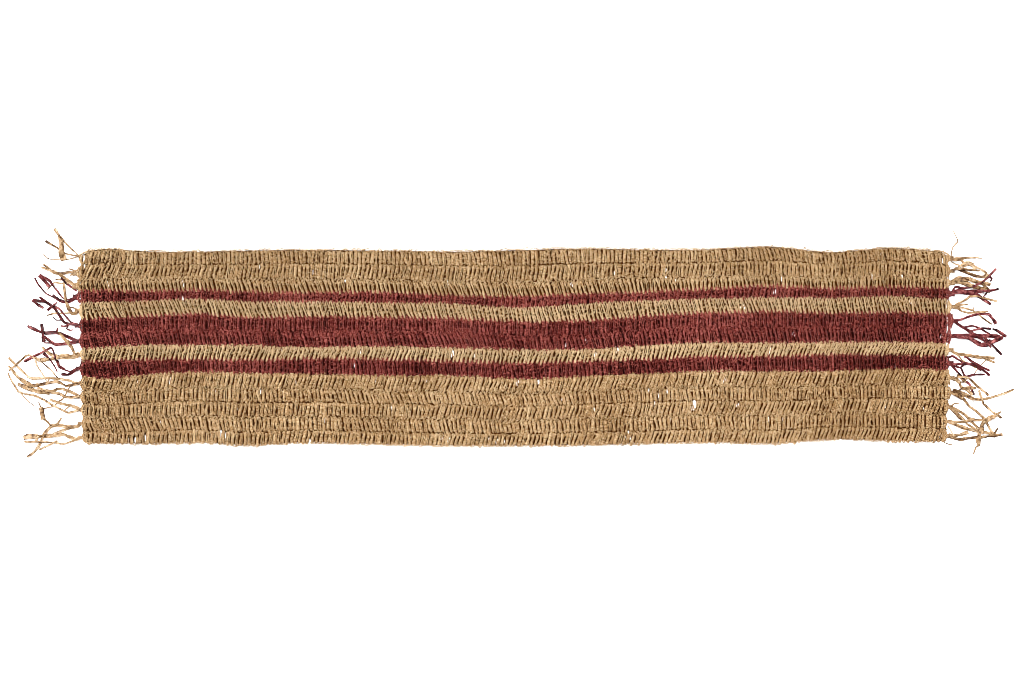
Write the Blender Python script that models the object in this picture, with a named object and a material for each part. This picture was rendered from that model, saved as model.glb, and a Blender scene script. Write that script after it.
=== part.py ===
"""Raffia runner rug: a flat crocheted cloth of fourteen rows, with the knotted tails of its strands as a
fringe at both ends of every row.

The cloth lies flat with its rows along X. Its first row is at +Y. Everything rests on z = 0.
Tables are in millimetres, measured from the middle of the cloth.
"""

import math

import bmesh
import bpy
import numpy as np
from mathutils import Vector

MM = 0.001

# Cloth
CROWN = 5.5           # height along the middle of a row
VALLEY = 4.1          # height where two rows meet
RIM = 2.4             # height of the rounded outer edge
UNDERCUT = 1.0        # how far the underside stays inside the outer edge
ROW_BULGE = 1.6       # how far a row's end stands out past the joint between two rows
CORNER = 7.0
STEPS_ALONG = 44
STEPS_PER_ROW = 3

# Knots and tails of the fringe
CLEAR = 0.3           # between a knot and the edge of the cloth
KNOT_DEPTH = 6.0
KNOT_HEIGHT = 5.2
KNOT_BACK = 3.6
ROOT_HEIGHT = 3.0     # of a tail where it leaves its knot
ROOT_WIDTH = 2.2
ROOT_GAP = 0.7
TAIL_HEIGHT = 1.6
TAIL_CREST = 0.72     # width of a tail's upper face as a share of its lower face
RING_STEP = 13.0
FINE = 6              # finer steps between two rings
FAN_STEP = 21.0       # degrees between neighbouring tails as they leave a knot
CLIMB = 0.45          # steepest rise of a tail over what it crosses
CROSSING = 0.5        # air between two tails that cross
ROOT_ZONE = 8         # fine steps beside a knot that tails laid before leave free
ZONE_HEIGHT = 6.0

# Columns: place along the cloth, then how far up (+) or down (-) these lines lie there: the cloth's upper
# edge, the top of red row 4, its foot, the top of red row 6, the foot of red row 7, the top of red row 9,
# its foot, and the cloth's lower edge.
STATIONS = np.array([
    # x     edge  top4  foot4  top6  foot7  top9  foot9  edge
    (-864,  192,  113,   87,   56,   -5,  -27,  -60, -195),
    (-818,  198,  114,   88,   58,   -3,  -28,  -67, -196),
    (-747,  194,  112,   90,   61,    1,  -25,  -59, -197),
    (-626,  193,  115,   94,   67,    1,  -25,  -53, -195),
    (-536,  195,  111,   89,   60,    1,  -27,  -55, -200),
    (-425,  196,  109,   89,   61,   -3,  -24,  -57, -195),
    (-263,  195,  110,   87,   60,   -1,  -25,  -60, -198),
    (-102,  193,  103,   84,   57,   -5,  -29,  -61, -201),
    (19,    196,  102,   77,   51,   -8,  -32,  -67, -201),
    (160,   199,  107,   86,   54,   -7,  -29,  -61, -199),
    (261,   197,  110,   91,   62,    0,  -25,  -57, -197),
    (382,   197,  116,   95,   68,    6,  -20,  -52, -194),
    (533,   202,  123,   97,   71,    5,  -19,  -52, -196),
    (644,   192,  118,   96,   68,    7,  -15,  -51, -188),
    (765,   200,  121,  100,   70,    7,  -16,  -47, -191),
    (880,   192,  118,   94,   66,    5,  -18,  -49, -193),
], dtype=float)

# Each joint between rows lies between two of the columns above, at the given share of the way.
# Columns: upper column, lower column, share.
JOINTS = (
    (1, 1, 0.0), (1, 3, 0.275), (1, 3, 0.55), (2, 2, 0.0), (3, 3, 0.0), (4, 4, 0.0), (4, 5, 0.47),
    (5, 5, 0.0), (6, 6, 0.0), (7, 7, 0.0), (7, 8, 0.2), (7, 8, 0.4), (7, 8, 0.6), (7, 8, 0.81), (8, 8, 0.0),
)
ROWS = len(JOINTS) - 1
RED_ROWS = (4, 6, 7, 9)

# Columns: x of the left end and of the right end of each row.
ROW_ENDS = (
    (-866, 882), (-868, 884), (-868, 884), (-867, 884), (-866, 886), (-868, 889), (-867, 886),
    (-866, 882), (-866, 882), (-865, 884), (-865, 886), (-864, 881), (-862, 878), (-862, 878),
)

# Gaps between stitches that the light shows through. Columns: x, y, width, height.
GAPS = (
    (-860, 160, 5, 8), (-860, 178, 6, 9), (-811, 126, 3, 8), (-755, -188, 4, 8), (-737, -185, 4, 10),
    (-686, -68, 4, 10), (-660, 126, 3, 10), (-584, -176, 3, 12), (-576, -180, 4, 10), (-273, -68, 4, 8),
    (-139, -182, 4, 10), (-126, -188, 4, 8), (-118, -15, 6, 10), (13, -74, 3, 12), (55, -72, 6, 6),
    (124, 124, 4, 6), (170, -17, 5, 8), (215, -7, 3, 8), (235, -178, 4, 12), (331, 132, 4, 8),
    (368, -120, 8, 16), (430, -68, 6, 6), (456, -118, 5, 6), (470, 80, 3, 10), (522, -9, 4, 12),
    (532, 110, 3, 8), (546, 136, 3, 8), (806, 90, 4, 6), (829, -126, 4, 6), (866, -179, 4, 8),
    (869, 174, 4, 8), (869, 19, 4, 8),
)

# Tails at each end of each row. Columns: how far out the tip lies from the row's end, how far above the
# row's middle, how many degrees the tip curls away from the straight line to it, and the tail's width.
LEFT_TAILS = {
    1: ((50, 58, 5, 3.5), (68, 32, -15, 3), (36, 38, 70, 6), (24, -4, 0, 4)),
    2: ((71, 16, 25, 3), (73, 4, 10, 3), (41, -7, -10, 5)),
    3: ((36, 22, 20, 4), (52, 4, 0, 3.5), (28, -30, -60, 3.5)),
    4: ((79, 44, 10, 3), (60, 22, 25, 5), (54, 2, -10, 3), (90, 34, 45, 2.5), (66, 8, 20, 2.5)),
    5: ((27, 22, 60, 4), (62, -8, -10, 2.5), (40, 5, 10, 4)),
    6: ((79, 56, 10, 3.5), (92, 48, -15, 4), (50, 16, 20, 4), (36, -3, 0, 4), (62, 30, -10, 2.5)),
    7: ((103, 29, -10, 3.5), (76, 24, 85, 5), (48, -8, -15, 4)),
    8: ((76, 15, 30, 7), (85, -10, -35, 5), (43, 43, -20, 2.5)),
    9: ((53, 49, 60, 3), (111, 13, -50, 3.5), (42, -18, -50, 2.5), (64, 12, 40, 2.5)),
    10: ((143, 51, 40, 3.5), (97, 54, 45, 3), (140, 27, -20, 3), (70, -2, -15, 3.5)),
    11: ((115, 21, 0, 4), (127, 41, 25, 3.5), (60, 6, 10, 4), (96, 4, -20, 3)),
    12: ((54, 20, -5, 5), (26, -4, 0, 5), (115, 35, 45, 2.5), (144, 76, 55, 2.5)),
    13: ((79, 33, 80, 5), (109, -60, -45, 3.5), (50, -8, -10, 4)),
    14: ((115, 4, 0, 6), (115, -9, 8, 3.5), (87, -25, -10, 3)),
}
RIGHT_TAILS = {
    1: ((74, -28, -80, 3.5), (67, 2, 10, 3.5), (9, 54, 80, 2.5)),
    2: ((60, 0, 5, 3.5), (62, -15, -10, 3), (36, 10, 25, 4)),
    3: ((82, -3, 0, 4.5), (82, -17, -10, 4), (52, 10, 10, 4)),
    4: ((83, -20, -40, 6), (98, 13, 10, 2.5), (93, 50, 60, 2.5)),
    5: ((40, 22, 20, 4), (34, 8, 0, 4), (43, -12, -20, 4), (76, -4, 0, 3), (81, -32, -30, 2.5),
        (93, 10, 5, 3.5)),
    6: ((93, -4, -60, 5), (109, -28, 10, 3.5), (50, 8, 10, 4)),
    7: ((99, 3, 0, 5.5), (115, 16, -40, 2.5), (107, -8, 45, 3.5), (84, -24, -5, 2.5), (104, -39, -10, 2.5)),
    8: ((91, -14, 0, 4), (91, -24, -8, 3.5), (52, 4, 5, 4)),
    9: ((80, -24, -25, 5), (48, -58, -40, 3.5), (45, 5, 10, 4), (74, -36, 10, 2.5)),
    10: ((38, 5, 0, 4), (79, -33, -20, 3.5), (62, -8, 0, 3.5), (52, -40, -30, 2.5)),
    11: ((69, -50, -30, 6), (128, 8, 35, 3.5), (102, -46, -20, 3)),
    12: ((52, -36, -25, 4), (72, -4, 5, 3.5), (44, 10, 10, 4), (86, -30, -10, 3)),
    13: ((93, -28, -5, 4), (102, 20, 40, 5), (46, -8, 0, 3.5), (78, -16, 15, 3)),
    14: ((106, 2, 5, 4), (46, -38, -80, 4), (60, 12, 0, 3.5), (88, 30, 10, 3)),
}

NATURAL_RAFFIA = dict(name="natural_raffia", colour=(0.53, 0.34, 0.13), roughness=0.6)
RED_RAFFIA = dict(name="red_dyed_raffia", colour=(0.22, 0.03, 0.03), roughness=0.6)


def clear_scene():
    for thing in list(bpy.data.objects):
        bpy.data.objects.remove(thing, do_unlink=True)


def raffia(name, colour, roughness):
    material = bpy.data.materials.new(name)
    material.use_nodes = True
    shader = material.node_tree.nodes["Principled BSDF"]
    shader.inputs["Base Color"].default_value = (*colour, 1.0)
    shader.inputs["Roughness"].default_value = roughness
    shader.inputs["Metallic"].default_value = 0.0
    return material


def smooth_through(stations, values, x):
    """The value at each x on the smooth line through the stations, a cubic between each two of them."""
    slopes = np.gradient(values, stations)
    x = np.clip(x, stations[0], stations[-1])
    at = np.clip(np.searchsorted(stations, x, side="right") - 1, 0, len(stations) - 2)
    span = stations[at + 1] - stations[at]
    t = (x - stations[at]) / span
    start = values[at] * (2 * t ** 3 - 3 * t ** 2 + 1) + slopes[at] * span * (t ** 3 - 2 * t ** 2 + t)
    end = values[at + 1] * (3 * t ** 2 - 2 * t ** 3) + slopes[at + 1] * span * (t ** 3 - t ** 2)
    return start + end


def joint_line(number, x):
    """How far up the joint above row number + 1 lies at each x."""
    upper, lower, share = JOINTS[number]
    above = smooth_through(STATIONS[:, 0], STATIONS[:, upper], x)
    below = smooth_through(STATIONS[:, 0], STATIONS[:, lower], x)
    return above + share * (below - above)


def row_end(line, side):
    """Where a line of the cloth's grid ends on one side, with each row's end standing out between joints."""
    row, step = divmod(line, STEPS_PER_ROW)
    outward = (-1, 1)[side]
    if row == ROWS:
        row, step = ROWS - 1, STEPS_PER_ROW
    here = ROW_ENDS[row][side]
    if step == 0:
        before = ROW_ENDS[max(row - 1, 0)][side]
        here = (here + before) / 2
    swell = ROW_BULGE * math.sin(math.pi * step / STEPS_PER_ROW)
    inset = {0: CORNER, 1: CORNER * 0.12}.get(min(line, ROWS * STEPS_PER_ROW - line), 0.0)
    return here + outward * (swell - inset)


def cloth_grid():
    """The upper face as arrays x, y, z with a line of points for each step across the rows."""
    lines = ROWS * STEPS_PER_ROW + 1
    share = np.linspace(0.0, 1.0, STEPS_ALONG + 1)
    x = np.empty((lines, STEPS_ALONG + 1))
    y, z = np.empty_like(x), np.empty_like(x)
    for line in range(lines):
        row, step = divmod(line, STEPS_PER_ROW)
        left, right = row_end(line, 0), row_end(line, 1)
        x[line] = left + share * (right - left)
        down = step / STEPS_PER_ROW
        upper = joint_line(min(row, ROWS), x[line])
        lower = joint_line(min(row + 1, ROWS), x[line])
        y[line] = upper + down * (lower - upper)
        z[line] = VALLEY + (CROWN - VALLEY) * math.sin(math.pi * down) / math.sin(math.pi / STEPS_PER_ROW)
    z[0], z[-1], z[:, 0], z[:, -1] = RIM, RIM, RIM, RIM
    return x, y, z


def new_object(name, mesh, materials, parent):
    for material in materials:
        mesh.materials.append(material)
    thing = bpy.data.objects.new(name, mesh)
    bpy.context.scene.collection.objects.link(thing)
    thing.parent = parent
    return thing


def make_cloth(materials, parent):
    x, y, z = cloth_grid()
    lines, along = x.shape
    mesh = bpy.data.meshes.new("cloth")
    bm = bmesh.new()
    top = [[bm.verts.new((x[i, j] * MM, y[i, j] * MM, z[i, j] * MM)) for j in range(along)]
           for i in range(lines)]
    for i in range(lines - 1):
        for j in range(along - 1):
            face = bm.faces.new((top[i][j], top[i + 1][j], top[i + 1][j + 1], top[i][j + 1]))
            face.material_index = int(i // STEPS_PER_ROW + 1 in RED_ROWS)
    # The outline runs anticlockwise, so the inside of the cloth is on its left.
    rim = [row[0] for row in top] + top[-1][1:] + [row[-1] for row in top[-2::-1]] + top[0][-2:0:-1]
    foot = []
    for k, vert in enumerate(rim):
        ahead, behind = rim[(k + 1) % len(rim)].co, rim[k - 1].co
        along_edge = (ahead - behind).normalized()
        inward = Vector((-along_edge.y, along_edge.x, 0.0))
        under = vert.co + inward * UNDERCUT * MM
        foot.append(bm.verts.new((under.x, under.y, 0.0)))
    for k in range(len(rim)):
        following = (k + 1) % len(rim)
        bm.faces.new((rim[k], foot[k], foot[following], rim[following]))
    bm.faces.new(foot[::-1])
    bm.to_mesh(mesh)
    bm.free()
    mesh.shade_smooth()
    mesh.set_sharp_from_angle(angle=math.radians(50))
    return new_object("cloth", mesh, materials, parent)


def make_gap_cutter(parent):
    """One long lozenge with blunt sides, standing through the cloth, for each gap."""
    mesh = bpy.data.meshes.new("gap_cutter")
    bm = bmesh.new()
    for x, y, wide, tall in GAPS:
        corners = [(0, 0.5), (-0.5, 0.22), (-0.5, -0.22), (0, -0.5), (0.5, -0.22), (0.5, 0.22)]
        low = [bm.verts.new(((x + u * wide) * MM, (y + v * tall) * MM, -2 * MM)) for u, v in corners]
        high = [bm.verts.new((vert.co.x, vert.co.y, 2 * CROWN * MM)) for vert in low]
        bm.faces.new(low[::-1])
        bm.faces.new(high)
        for k in range(len(low)):
            following = (k + 1) % len(low)
            bm.faces.new((low[k], low[following], high[following], high[k]))
    bm.to_mesh(mesh)
    bm.free()
    cutter = new_object("gap_cutter", mesh, (), parent)
    cutter.hide_render = True
    cutter.display_type = "WIRE"
    return cutter


def cut_gaps(cloth, cutter):
    cut = cloth.modifiers.new("gaps", "BOOLEAN")
    cut.operation = "DIFFERENCE"
    cut.solver = "EXACT"
    cut.object = cutter


class Knot:
    """The knot at one end of one row: where it stands and in what order its tails leave it."""

    def __init__(self, row, side):
        self.row, self.side = row, side
        self.outward = (-1, 1)[side]
        first = (row - 1) * STEPS_PER_ROW
        ends = [self.outward * row_end(first + step, side) for step in range(STEPS_PER_ROW + 1)]
        self.edge = self.outward * max(ends)
        place = np.array([self.edge])
        self.middle = float(joint_line(row - 1, place)[0] + joint_line(row, place)[0]) / 2
        tails = (LEFT_TAILS, RIGHT_TAILS)[side][row]
        # The tail that points highest leaves the knot at its upper end.
        self.tails = sorted(tails, key=lambda tail: -math.atan2(tail[1], tail[0]))

    def across(self, cell):
        """The two heights along Y between which a tail's root lies."""
        pitch = ROOT_WIDTH + ROOT_GAP
        centre = self.middle + ((len(self.tails) - 1) / 2 - cell) * pitch
        return centre + ROOT_WIDTH / 2, centre - ROOT_WIDTH / 2

    def face(self):
        """Where along X the tails leave the knot."""
        return self.edge + self.outward * (CLEAR + KNOT_DEPTH)


class Tail:
    """One loose tail: a smooth curve on the floor from its knot to its tip, as rings of four points.

    Its course is also read at finer steps along the straight runs between rings, to see what it crosses.
    """

    def __init__(self, knot, cell):
        out, up, curl, self.width = knot.tails[cell]
        self.knot = knot
        root = np.array([knot.face(), sum(knot.across(cell)) / 2])
        tip = np.array([knot.edge + knot.outward * out, knot.middle + up])
        reach = np.hypot(*(tip - root))
        fan = math.radians(((len(knot.tails) - 1) / 2 - cell) * FAN_STEP)
        aim = math.atan2(tip[1] - root[1], (tip[0] - root[0]) * knot.outward)
        end = aim + math.radians(curl)
        start_way = np.array([knot.outward * math.cos(fan), math.sin(fan)])
        end_way = np.array([knot.outward * math.cos(end), math.sin(end)])
        handles = root, root + start_way * reach * 0.36, tip - end_way * reach * 0.36, tip
        self.rings = max(4, round(reach / RING_STEP)) + 1
        self.spots = bezier(handles, np.linspace(0.0, 1.0, self.rings))
        self.run = np.concatenate(([0.0], np.cumsum(np.hypot(*np.diff(self.spots, axis=0).T))))
        self.lift = np.zeros(self.rings)
        number = np.arange(FINE * (self.rings - 1) + 1) / FINE
        self.fine_run = np.interp(number, np.arange(self.rings), self.run)
        self.fine_spots = np.column_stack([np.interp(self.fine_run, self.run, axis) for axis in self.spots.T])

    def width_at(self, run):
        grown = np.clip((run - 8.0) / 16.0, 0.0, 1.0)
        taper = 1.0 - 0.35 * np.clip((run / self.run[-1] - 0.7) / 0.3, 0.0, 1.0)
        return (ROOT_WIDTH + (self.width - ROOT_WIDTH) * grown) * taper

    def height_at(self, run):
        return ROOT_HEIGHT + (TAIL_HEIGHT - ROOT_HEIGHT) * np.clip(run / 14.0, 0.0, 1.0)

    def discs(self):
        """What the tail takes up, as rows of x, y, radius, lower height and upper height."""
        low = np.interp(self.fine_run, self.run, self.lift)
        high = low + self.height_at(self.fine_run)
        return np.column_stack((self.fine_spots, self.width_at(self.fine_run) / 2, low, high))

    def root_zone(self):
        """The space beside the knot that later crossings leave free for this tail."""
        zone = self.discs()[:ROOT_ZONE]
        zone[:, 4] = ZONE_HEIGHT
        return zone

    def climb_over(self, discs, own_zone):
        """Raises rings until the tail clears the discs. Those of own_zone don't hinder it near its knot."""
        others = np.vstack((discs, own_zone))
        mine = self.discs()
        away = np.hypot(mine[:, None, 0] - others[None, :, 0], mine[:, None, 1] - others[None, :, 1])
        near = away < mine[:, None, 2] + others[None, :, 2] + CROSSING
        near[:ROOT_ZONE, len(discs):] = False
        apart = np.abs(self.run[:, None] - self.run[None, :])
        while True:
            mine = self.discs()
            meets = (mine[:, None, 3] < others[None, :, 4] + CROSSING - 1e-6) & (
                mine[:, None, 4] + CROSSING > others[None, :, 3])
            need = np.where(near & meets, others[None, :, 4] + CROSSING, 0.0).max(axis=1)
            before = self.lift.copy()
            for ring in range(1, self.rings):
                beside = need[FINE * (ring - 1) + 1:FINE * (ring + 1)]
                self.lift[ring] = max(self.lift[ring], beside.max())
            self.lift[1:] = (self.lift[None, :] - CLIMB * apart).max(axis=1)[1:]
            if np.allclose(before, self.lift):
                return


def bezier(handles, t):
    """Points of a cubic curve with the given four handles."""
    a, b, c, d = (np.asarray(handle)[None, :] for handle in handles)
    t = t[:, None]
    return (1 - t) ** 3 * a + 3 * (1 - t) ** 2 * t * b + 3 * (1 - t) * t ** 2 * c + t ** 3 * d


def knot_discs(knot):
    """The knot's own footprint as discs across its width."""
    upper, lower = knot.across(0)[0], knot.across(len(knot.tails) - 1)[1]
    y = np.linspace(upper, lower, 7)
    x = np.full_like(y, knot.face() - knot.outward * KNOT_DEPTH / 2)
    radius = np.full_like(y, KNOT_DEPTH / 2 + 0.3)
    return np.column_stack((x, y, radius, np.zeros_like(y), np.full_like(y, KNOT_HEIGHT)))


def lay_tails(knots):
    """Lays the tails down one after another, so that a later one climbs over those it crosses."""
    tails = [Tail(knot, cell) for knot in knots for cell in range(len(knot.tails))]
    laid = []
    for number, tail in enumerate(tails):
        other_knots = [knot_discs(knot) for knot in knots if knot is not tail.knot]
        to_come = [later.root_zone() for later in tails[number + 1:]]
        tail.climb_over(np.vstack(other_knots + laid), np.vstack(to_come + [knot_discs(tail.knot)]))
        laid.append(tail.discs())
    return tails


def make_bundle(knot, tails, material, parent):
    """A knot with its tails drawn out of its outer face, as one closed body."""
    name = "fringe_%s_%02d" % (("left", "right")[knot.side], knot.row)
    mesh = bpy.data.meshes.new(name)
    bm = bmesh.new()
    backing = knot.edge + knot.outward * CLEAR
    depths = [(backing, KNOT_BACK, 0.86), (backing + knot.outward * KNOT_DEPTH * 0.5, KNOT_HEIGHT, 1.06),
              (knot.face(), ROOT_HEIGHT, 1.0)]
    heights = [y for cell in range(len(knot.tails)) for y in knot.across(cell)]

    def section(x, high, spread):
        spots = [knot.middle + (y - knot.middle) * spread for y in heights]
        low = [bm.verts.new((x * MM, y * MM, 0.0)) for y in spots]
        return low, [bm.verts.new((x * MM, y * MM, high * MM)) for y in spots]

    sections = [section(*depth) for depth in depths]
    for (low_a, high_a), (low_b, high_b) in zip(sections, sections[1:]):
        for k in range(len(heights) - 1):
            bm.faces.new((high_a[k], high_a[k + 1], high_b[k + 1], high_b[k]))
            bm.faces.new((low_a[k + 1], low_a[k], low_b[k], low_b[k + 1]))
        bm.faces.new((low_a[0], high_a[0], high_b[0], low_b[0]))
        bm.faces.new((high_a[-1], low_a[-1], low_b[-1], high_b[-1]))
    low, high = sections[0]
    for k in range(len(heights) - 1):
        bm.faces.new((low[k], low[k + 1], high[k + 1], high[k]))
    low, high = sections[-1]
    for k in range(1, len(heights) - 1, 2):
        bm.faces.new((high[k], high[k + 1], low[k + 1], low[k]))
    for cell, tail in enumerate(tails):
        ring = [low[2 * cell], low[2 * cell + 1], high[2 * cell + 1], high[2 * cell]]
        for number in range(1, tail.rings):
            following = [bm.verts.new(corner) for corner in tail_ring(tail, number)]
            for k in range(4):
                after = (k + 1) % 4
                bm.faces.new((ring[k], ring[after], following[after], following[k]))
            ring = following
        bm.faces.new(ring)
    bmesh.ops.recalc_face_normals(bm, faces=bm.faces)
    bm.to_mesh(mesh)
    bm.free()
    mesh.shade_smooth()
    mesh.set_sharp_from_angle(angle=math.radians(40))
    return new_object(name, mesh, (material,), parent)


def tail_ring(tail, number):
    """Four corners of a tail's cross section, in the order of its root: its first two lie lowest."""
    ahead = tail.spots[min(number + 1, tail.rings - 1)] - tail.spots[number - 1]
    ahead /= np.hypot(*ahead)
    upper_side = np.array([-ahead[1], ahead[0]]) * tail.knot.outward
    half = tail.width_at(tail.run[number]) / 2
    low = tail.lift[number]
    high = low + tail.height_at(tail.run[number])
    corners = []
    for sign, share, level in ((1, 1.0, low), (-1, 1.0, low), (-1, TAIL_CREST, high), (1, TAIL_CREST, high)):
        x, y = tail.spots[number] + upper_side * sign * half * share
        corners.append((x * MM, y * MM, level * MM))
    return corners


def centre_on_floor(parent):
    """Moves the rug so that the middle of its outer box is at the origin."""
    spots = [vert.co for thing in parent.children if not thing.hide_render for vert in thing.data.vertices]
    low = [min(spot[axis] for spot in spots) for axis in range(2)]
    high = [max(spot[axis] for spot in spots) for axis in range(2)]
    parent.location = (-(low[0] + high[0]) / 2, -(low[1] + high[1]) / 2, 0.0)


def build():
    clear_scene()
    rug = bpy.data.objects.new("rug", None)
    bpy.context.scene.collection.objects.link(rug)
    natural, red = raffia(**NATURAL_RAFFIA), raffia(**RED_RAFFIA)
    cloth = make_cloth((natural, red), rug)
    cut_gaps(cloth, make_gap_cutter(rug))
    knots = [Knot(row, side) for side in (0, 1) for row in range(1, ROWS + 1)]
    tails = lay_tails(knots)
    for knot in knots:
        own = [tail for tail in tails if tail.knot is knot]
        make_bundle(knot, own, red if knot.row in RED_ROWS else natural, rug)
    centre_on_floor(rug)


build()
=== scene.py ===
"""The looks of the raffia runner rug: every stitch and every loose end is a strip of raffia of its own.

Sizes are in millimetres and measured from the middle of the cloth, as in the part's source: x runs along the
rows, y up the cloth and z off the floor. A mesh is moved into the model's frame as it is made.
"""

import math

import bpy
import numpy as np
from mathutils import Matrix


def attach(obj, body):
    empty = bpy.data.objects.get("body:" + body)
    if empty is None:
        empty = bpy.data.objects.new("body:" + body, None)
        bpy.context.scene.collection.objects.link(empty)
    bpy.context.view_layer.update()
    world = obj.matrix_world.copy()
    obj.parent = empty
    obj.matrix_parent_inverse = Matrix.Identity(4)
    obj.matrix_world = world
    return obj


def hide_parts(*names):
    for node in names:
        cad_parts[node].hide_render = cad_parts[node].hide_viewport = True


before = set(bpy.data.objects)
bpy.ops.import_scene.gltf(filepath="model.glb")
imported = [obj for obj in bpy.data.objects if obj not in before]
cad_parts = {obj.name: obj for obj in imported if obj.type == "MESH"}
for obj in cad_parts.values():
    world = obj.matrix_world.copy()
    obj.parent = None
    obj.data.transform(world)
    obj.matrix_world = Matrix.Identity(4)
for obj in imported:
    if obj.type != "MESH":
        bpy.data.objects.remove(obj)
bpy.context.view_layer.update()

MM = 0.001
TO_FRAME = np.array([-2.81, -9.43, 0.0])     # from the middle of the cloth to the model's frame

# Where stitches stand
PITCH_AT = (-866, -640, -160, 400, 640, 882)
PITCHES = (8.2, 8.5, 8.5, 8.4, 7.8, 7.6)     # from one stitch to the next at these places along the cloth
ROW_INSET = 4.0        # the first and last stitch stand this far inside the row's ends
STITCH_WANDER = 0.045  # usual chance offset of a stitch along the row, as a share of the pitch,
LEAN_WANDER = 1.6      # and of its lean, in degrees
# Stitches this near to their row's end stand upright, and past the second distance they lean in full.
UPRIGHT_NEAR = (2.0, 18.0)
PHASES = 6.3           # waves begin anywhere from 0 to here, about a full turn
LEAN_DRIFT = 2.2       # how many degrees the lean drifts with each of these waves, given by length over 2 pi
LEAN_WAVES = (23.0, 51.0, 90.0)
SEED = 20

# Strips of a stitch
FRONT_WIDTH = 3.6
FRONT_THICK = 3.7
FRONT_LEVEL = 4.4      # height of the middle of a front leg off the floor
SECOND_WIDTH = 2.45
SECOND_THICK = 3.0
SECOND_LEVEL = 3.8
SECOND_BESIDE = 0.36   # shares of the pitch to the right of the front leg
SLOT_BESIDE = 0.68     # and so far are the slots between two stitches
LOOP_WIDTH = 2.15
LOOP_THICK = 2.5
LOOP_LEVEL = 4.8       # of the first loop's crown
LOOP_ENDS = 2.9        # level of the ends of all loops
BIT_WIDTH = 1.9
BIT_THICK = 1.9
BIT_LEVEL = 5.3        # of the middle of a short end over the legs
BIT_ENDS = 3.4
BIT_HALVES = (1.6, 3.2)     # half its length, from and to
BIT_SLANTS = (0.4, 1.4)     # its slant to either side, in radians
BRIDGE_LEVEL = 3.7     # of the middle of a turn across a slot
BRIDGE_ENDS = 4.3
BRIDGE_HALF = 0.3      # half its length, as a share of the pitch
END_THICK = 2.4        # of the turns at the ends of a row
UNDER_WIDTH = 4.0
UNDER_THICK = 1.6
UNDER_LEVEL = 0.95
CRUMPLED = (0.36, 0.5, 0.7)     # how far chance moves each place on a strip: along x, y and z,
UNEVEN = 0.15          # and what share of its width it takes or gives there
FLOOR_ROOM = 0.3       # strips stay this far off the floor
MAP_STEPS = (17.0, 31.0)     # how far apart strips begin on the map of the fibres, across and along,
MAP_STARTS = (97, 89)        # and after how many strips the first start comes again

# The inner layer: a dark sheet under the stitches, coloured as painted shade between them
GROUND_LOW = 1.2       # lower and upper face of the inner layer that the stitches close round
GROUND_HIGH = 2.0
GROUND_INSET = 4.0     # how far it ends before the cloth's left and right ends,
EDGE_INSET = 1.8       # and before its upper and lower edges
CORNER_REACH = 20.0    # the cloth's upper and lower edge draw in this near to its ends,
CORNER_DRAWN = {0: -10.0, 14: 7.0}     # and by this much at the very end
GROUND_COLUMNS = 181
GROUND_BLEND = 30.0    # this near to its left end it reaches out with the rows that stand out there
# Its cuts are lozenges with blunt sides. Their corners lie at these shares of a gap's width and height from
# its middle, after the margin is added to both.
CUT_CORNERS = ((0.0, 0.6), (-0.5, 0.25), (-0.5, -0.25), (0.0, -0.6), (0.5, -0.25), (0.5, 0.25))
CUT_MARGIN = 2.5
CUTTER_LEVELS = (-5.0, 10.0)     # of the cutters' feet and tops, well below and above the layer

# How strips make way for a gap
GAP_SHARE = 0.35       # they keep this share of its width, and this much more, free on each side
GAP_MORE = 1.5
GAP_PACKED = 0.6       # share by which those beside it are packed closer
GAP_RETURN = 6.0       # how far above and below it they come back
GAP_FADE = 5.0         # over each such distance further off they move less, by a factor of e
GAP_REACH = 18.0       # beyond this distance they stay

# Tones: 0 is the deepest colour of the raffia, 1/2 the middle one and 1 the palest
USUAL_TONE = 0.55
TONE_DRIFT = 0.035     # how far the tone drifts with each of these waves
TONE_WAVES = (37.0, 81.0)
PAINTED_SHADE_BY_HEIGHT = 0.05        # painted light and shade: how much paler the raffia is painted for each millimetre above the level below, and darker below it
PAINTED_SHADE_LEVEL = 4.2
TAIL_TONES = (0.43, 0.33)     # of the natural loose ends on the left and on the right; the right ones are darker as painted shade, where the light falls off
RED_TAIL_TONE = 0.36
DARK_FIBRE_TONE = 0.15
FIBRE_SHARE = 0.45     # how much the tone changes from one fibre to the next,
BLOTCH_AND_CREASE_SHADE_SHARE = 3.1     # and with the blotches, where the leaf is dried darker, and painted shade where it is creased across
# Waves for each millimetre across and along a strip: fibres are about 0.4 mm apart and run on for some 12 mm,
# and the blotches and painted crease shade are 2 to 4 mm long.
FIBRE_GRAIN = (2.4, 0.08, 1.0)
BLOTCH_AND_CREASE_SHADE_GRAIN = (0.12, 0.5, 1.0)
# Waves for each metre: the crossings inside the rows lie about 2.4 mm apart along them and run up the cloth.
CROSSING_GRAIN = (420.0, 120.0, 420.0)

# Light and view
WINDOW_PLACE = (-1.1, 1.6, 3.4)
WINDOW_ANGLE = 20.0    # how wide the window looks from the rug, in degrees
WINDOW_ENERGY = 6.3
ROOM_LIGHT = 0.42
FLOOR_REACH = 12.0
FLOOR_GLOW = 0.5
CAMERA_PLACE = (0.0, 0.0006, 4.0)
VIEW_WIDTH = 2.064     # metres of floor across the picture

# Fringe
ROW_BULGE = 1.4        # the knots lie this far outside the row's ends
KNOT_STRIPS = 5        # strips that a knot draws together
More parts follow.
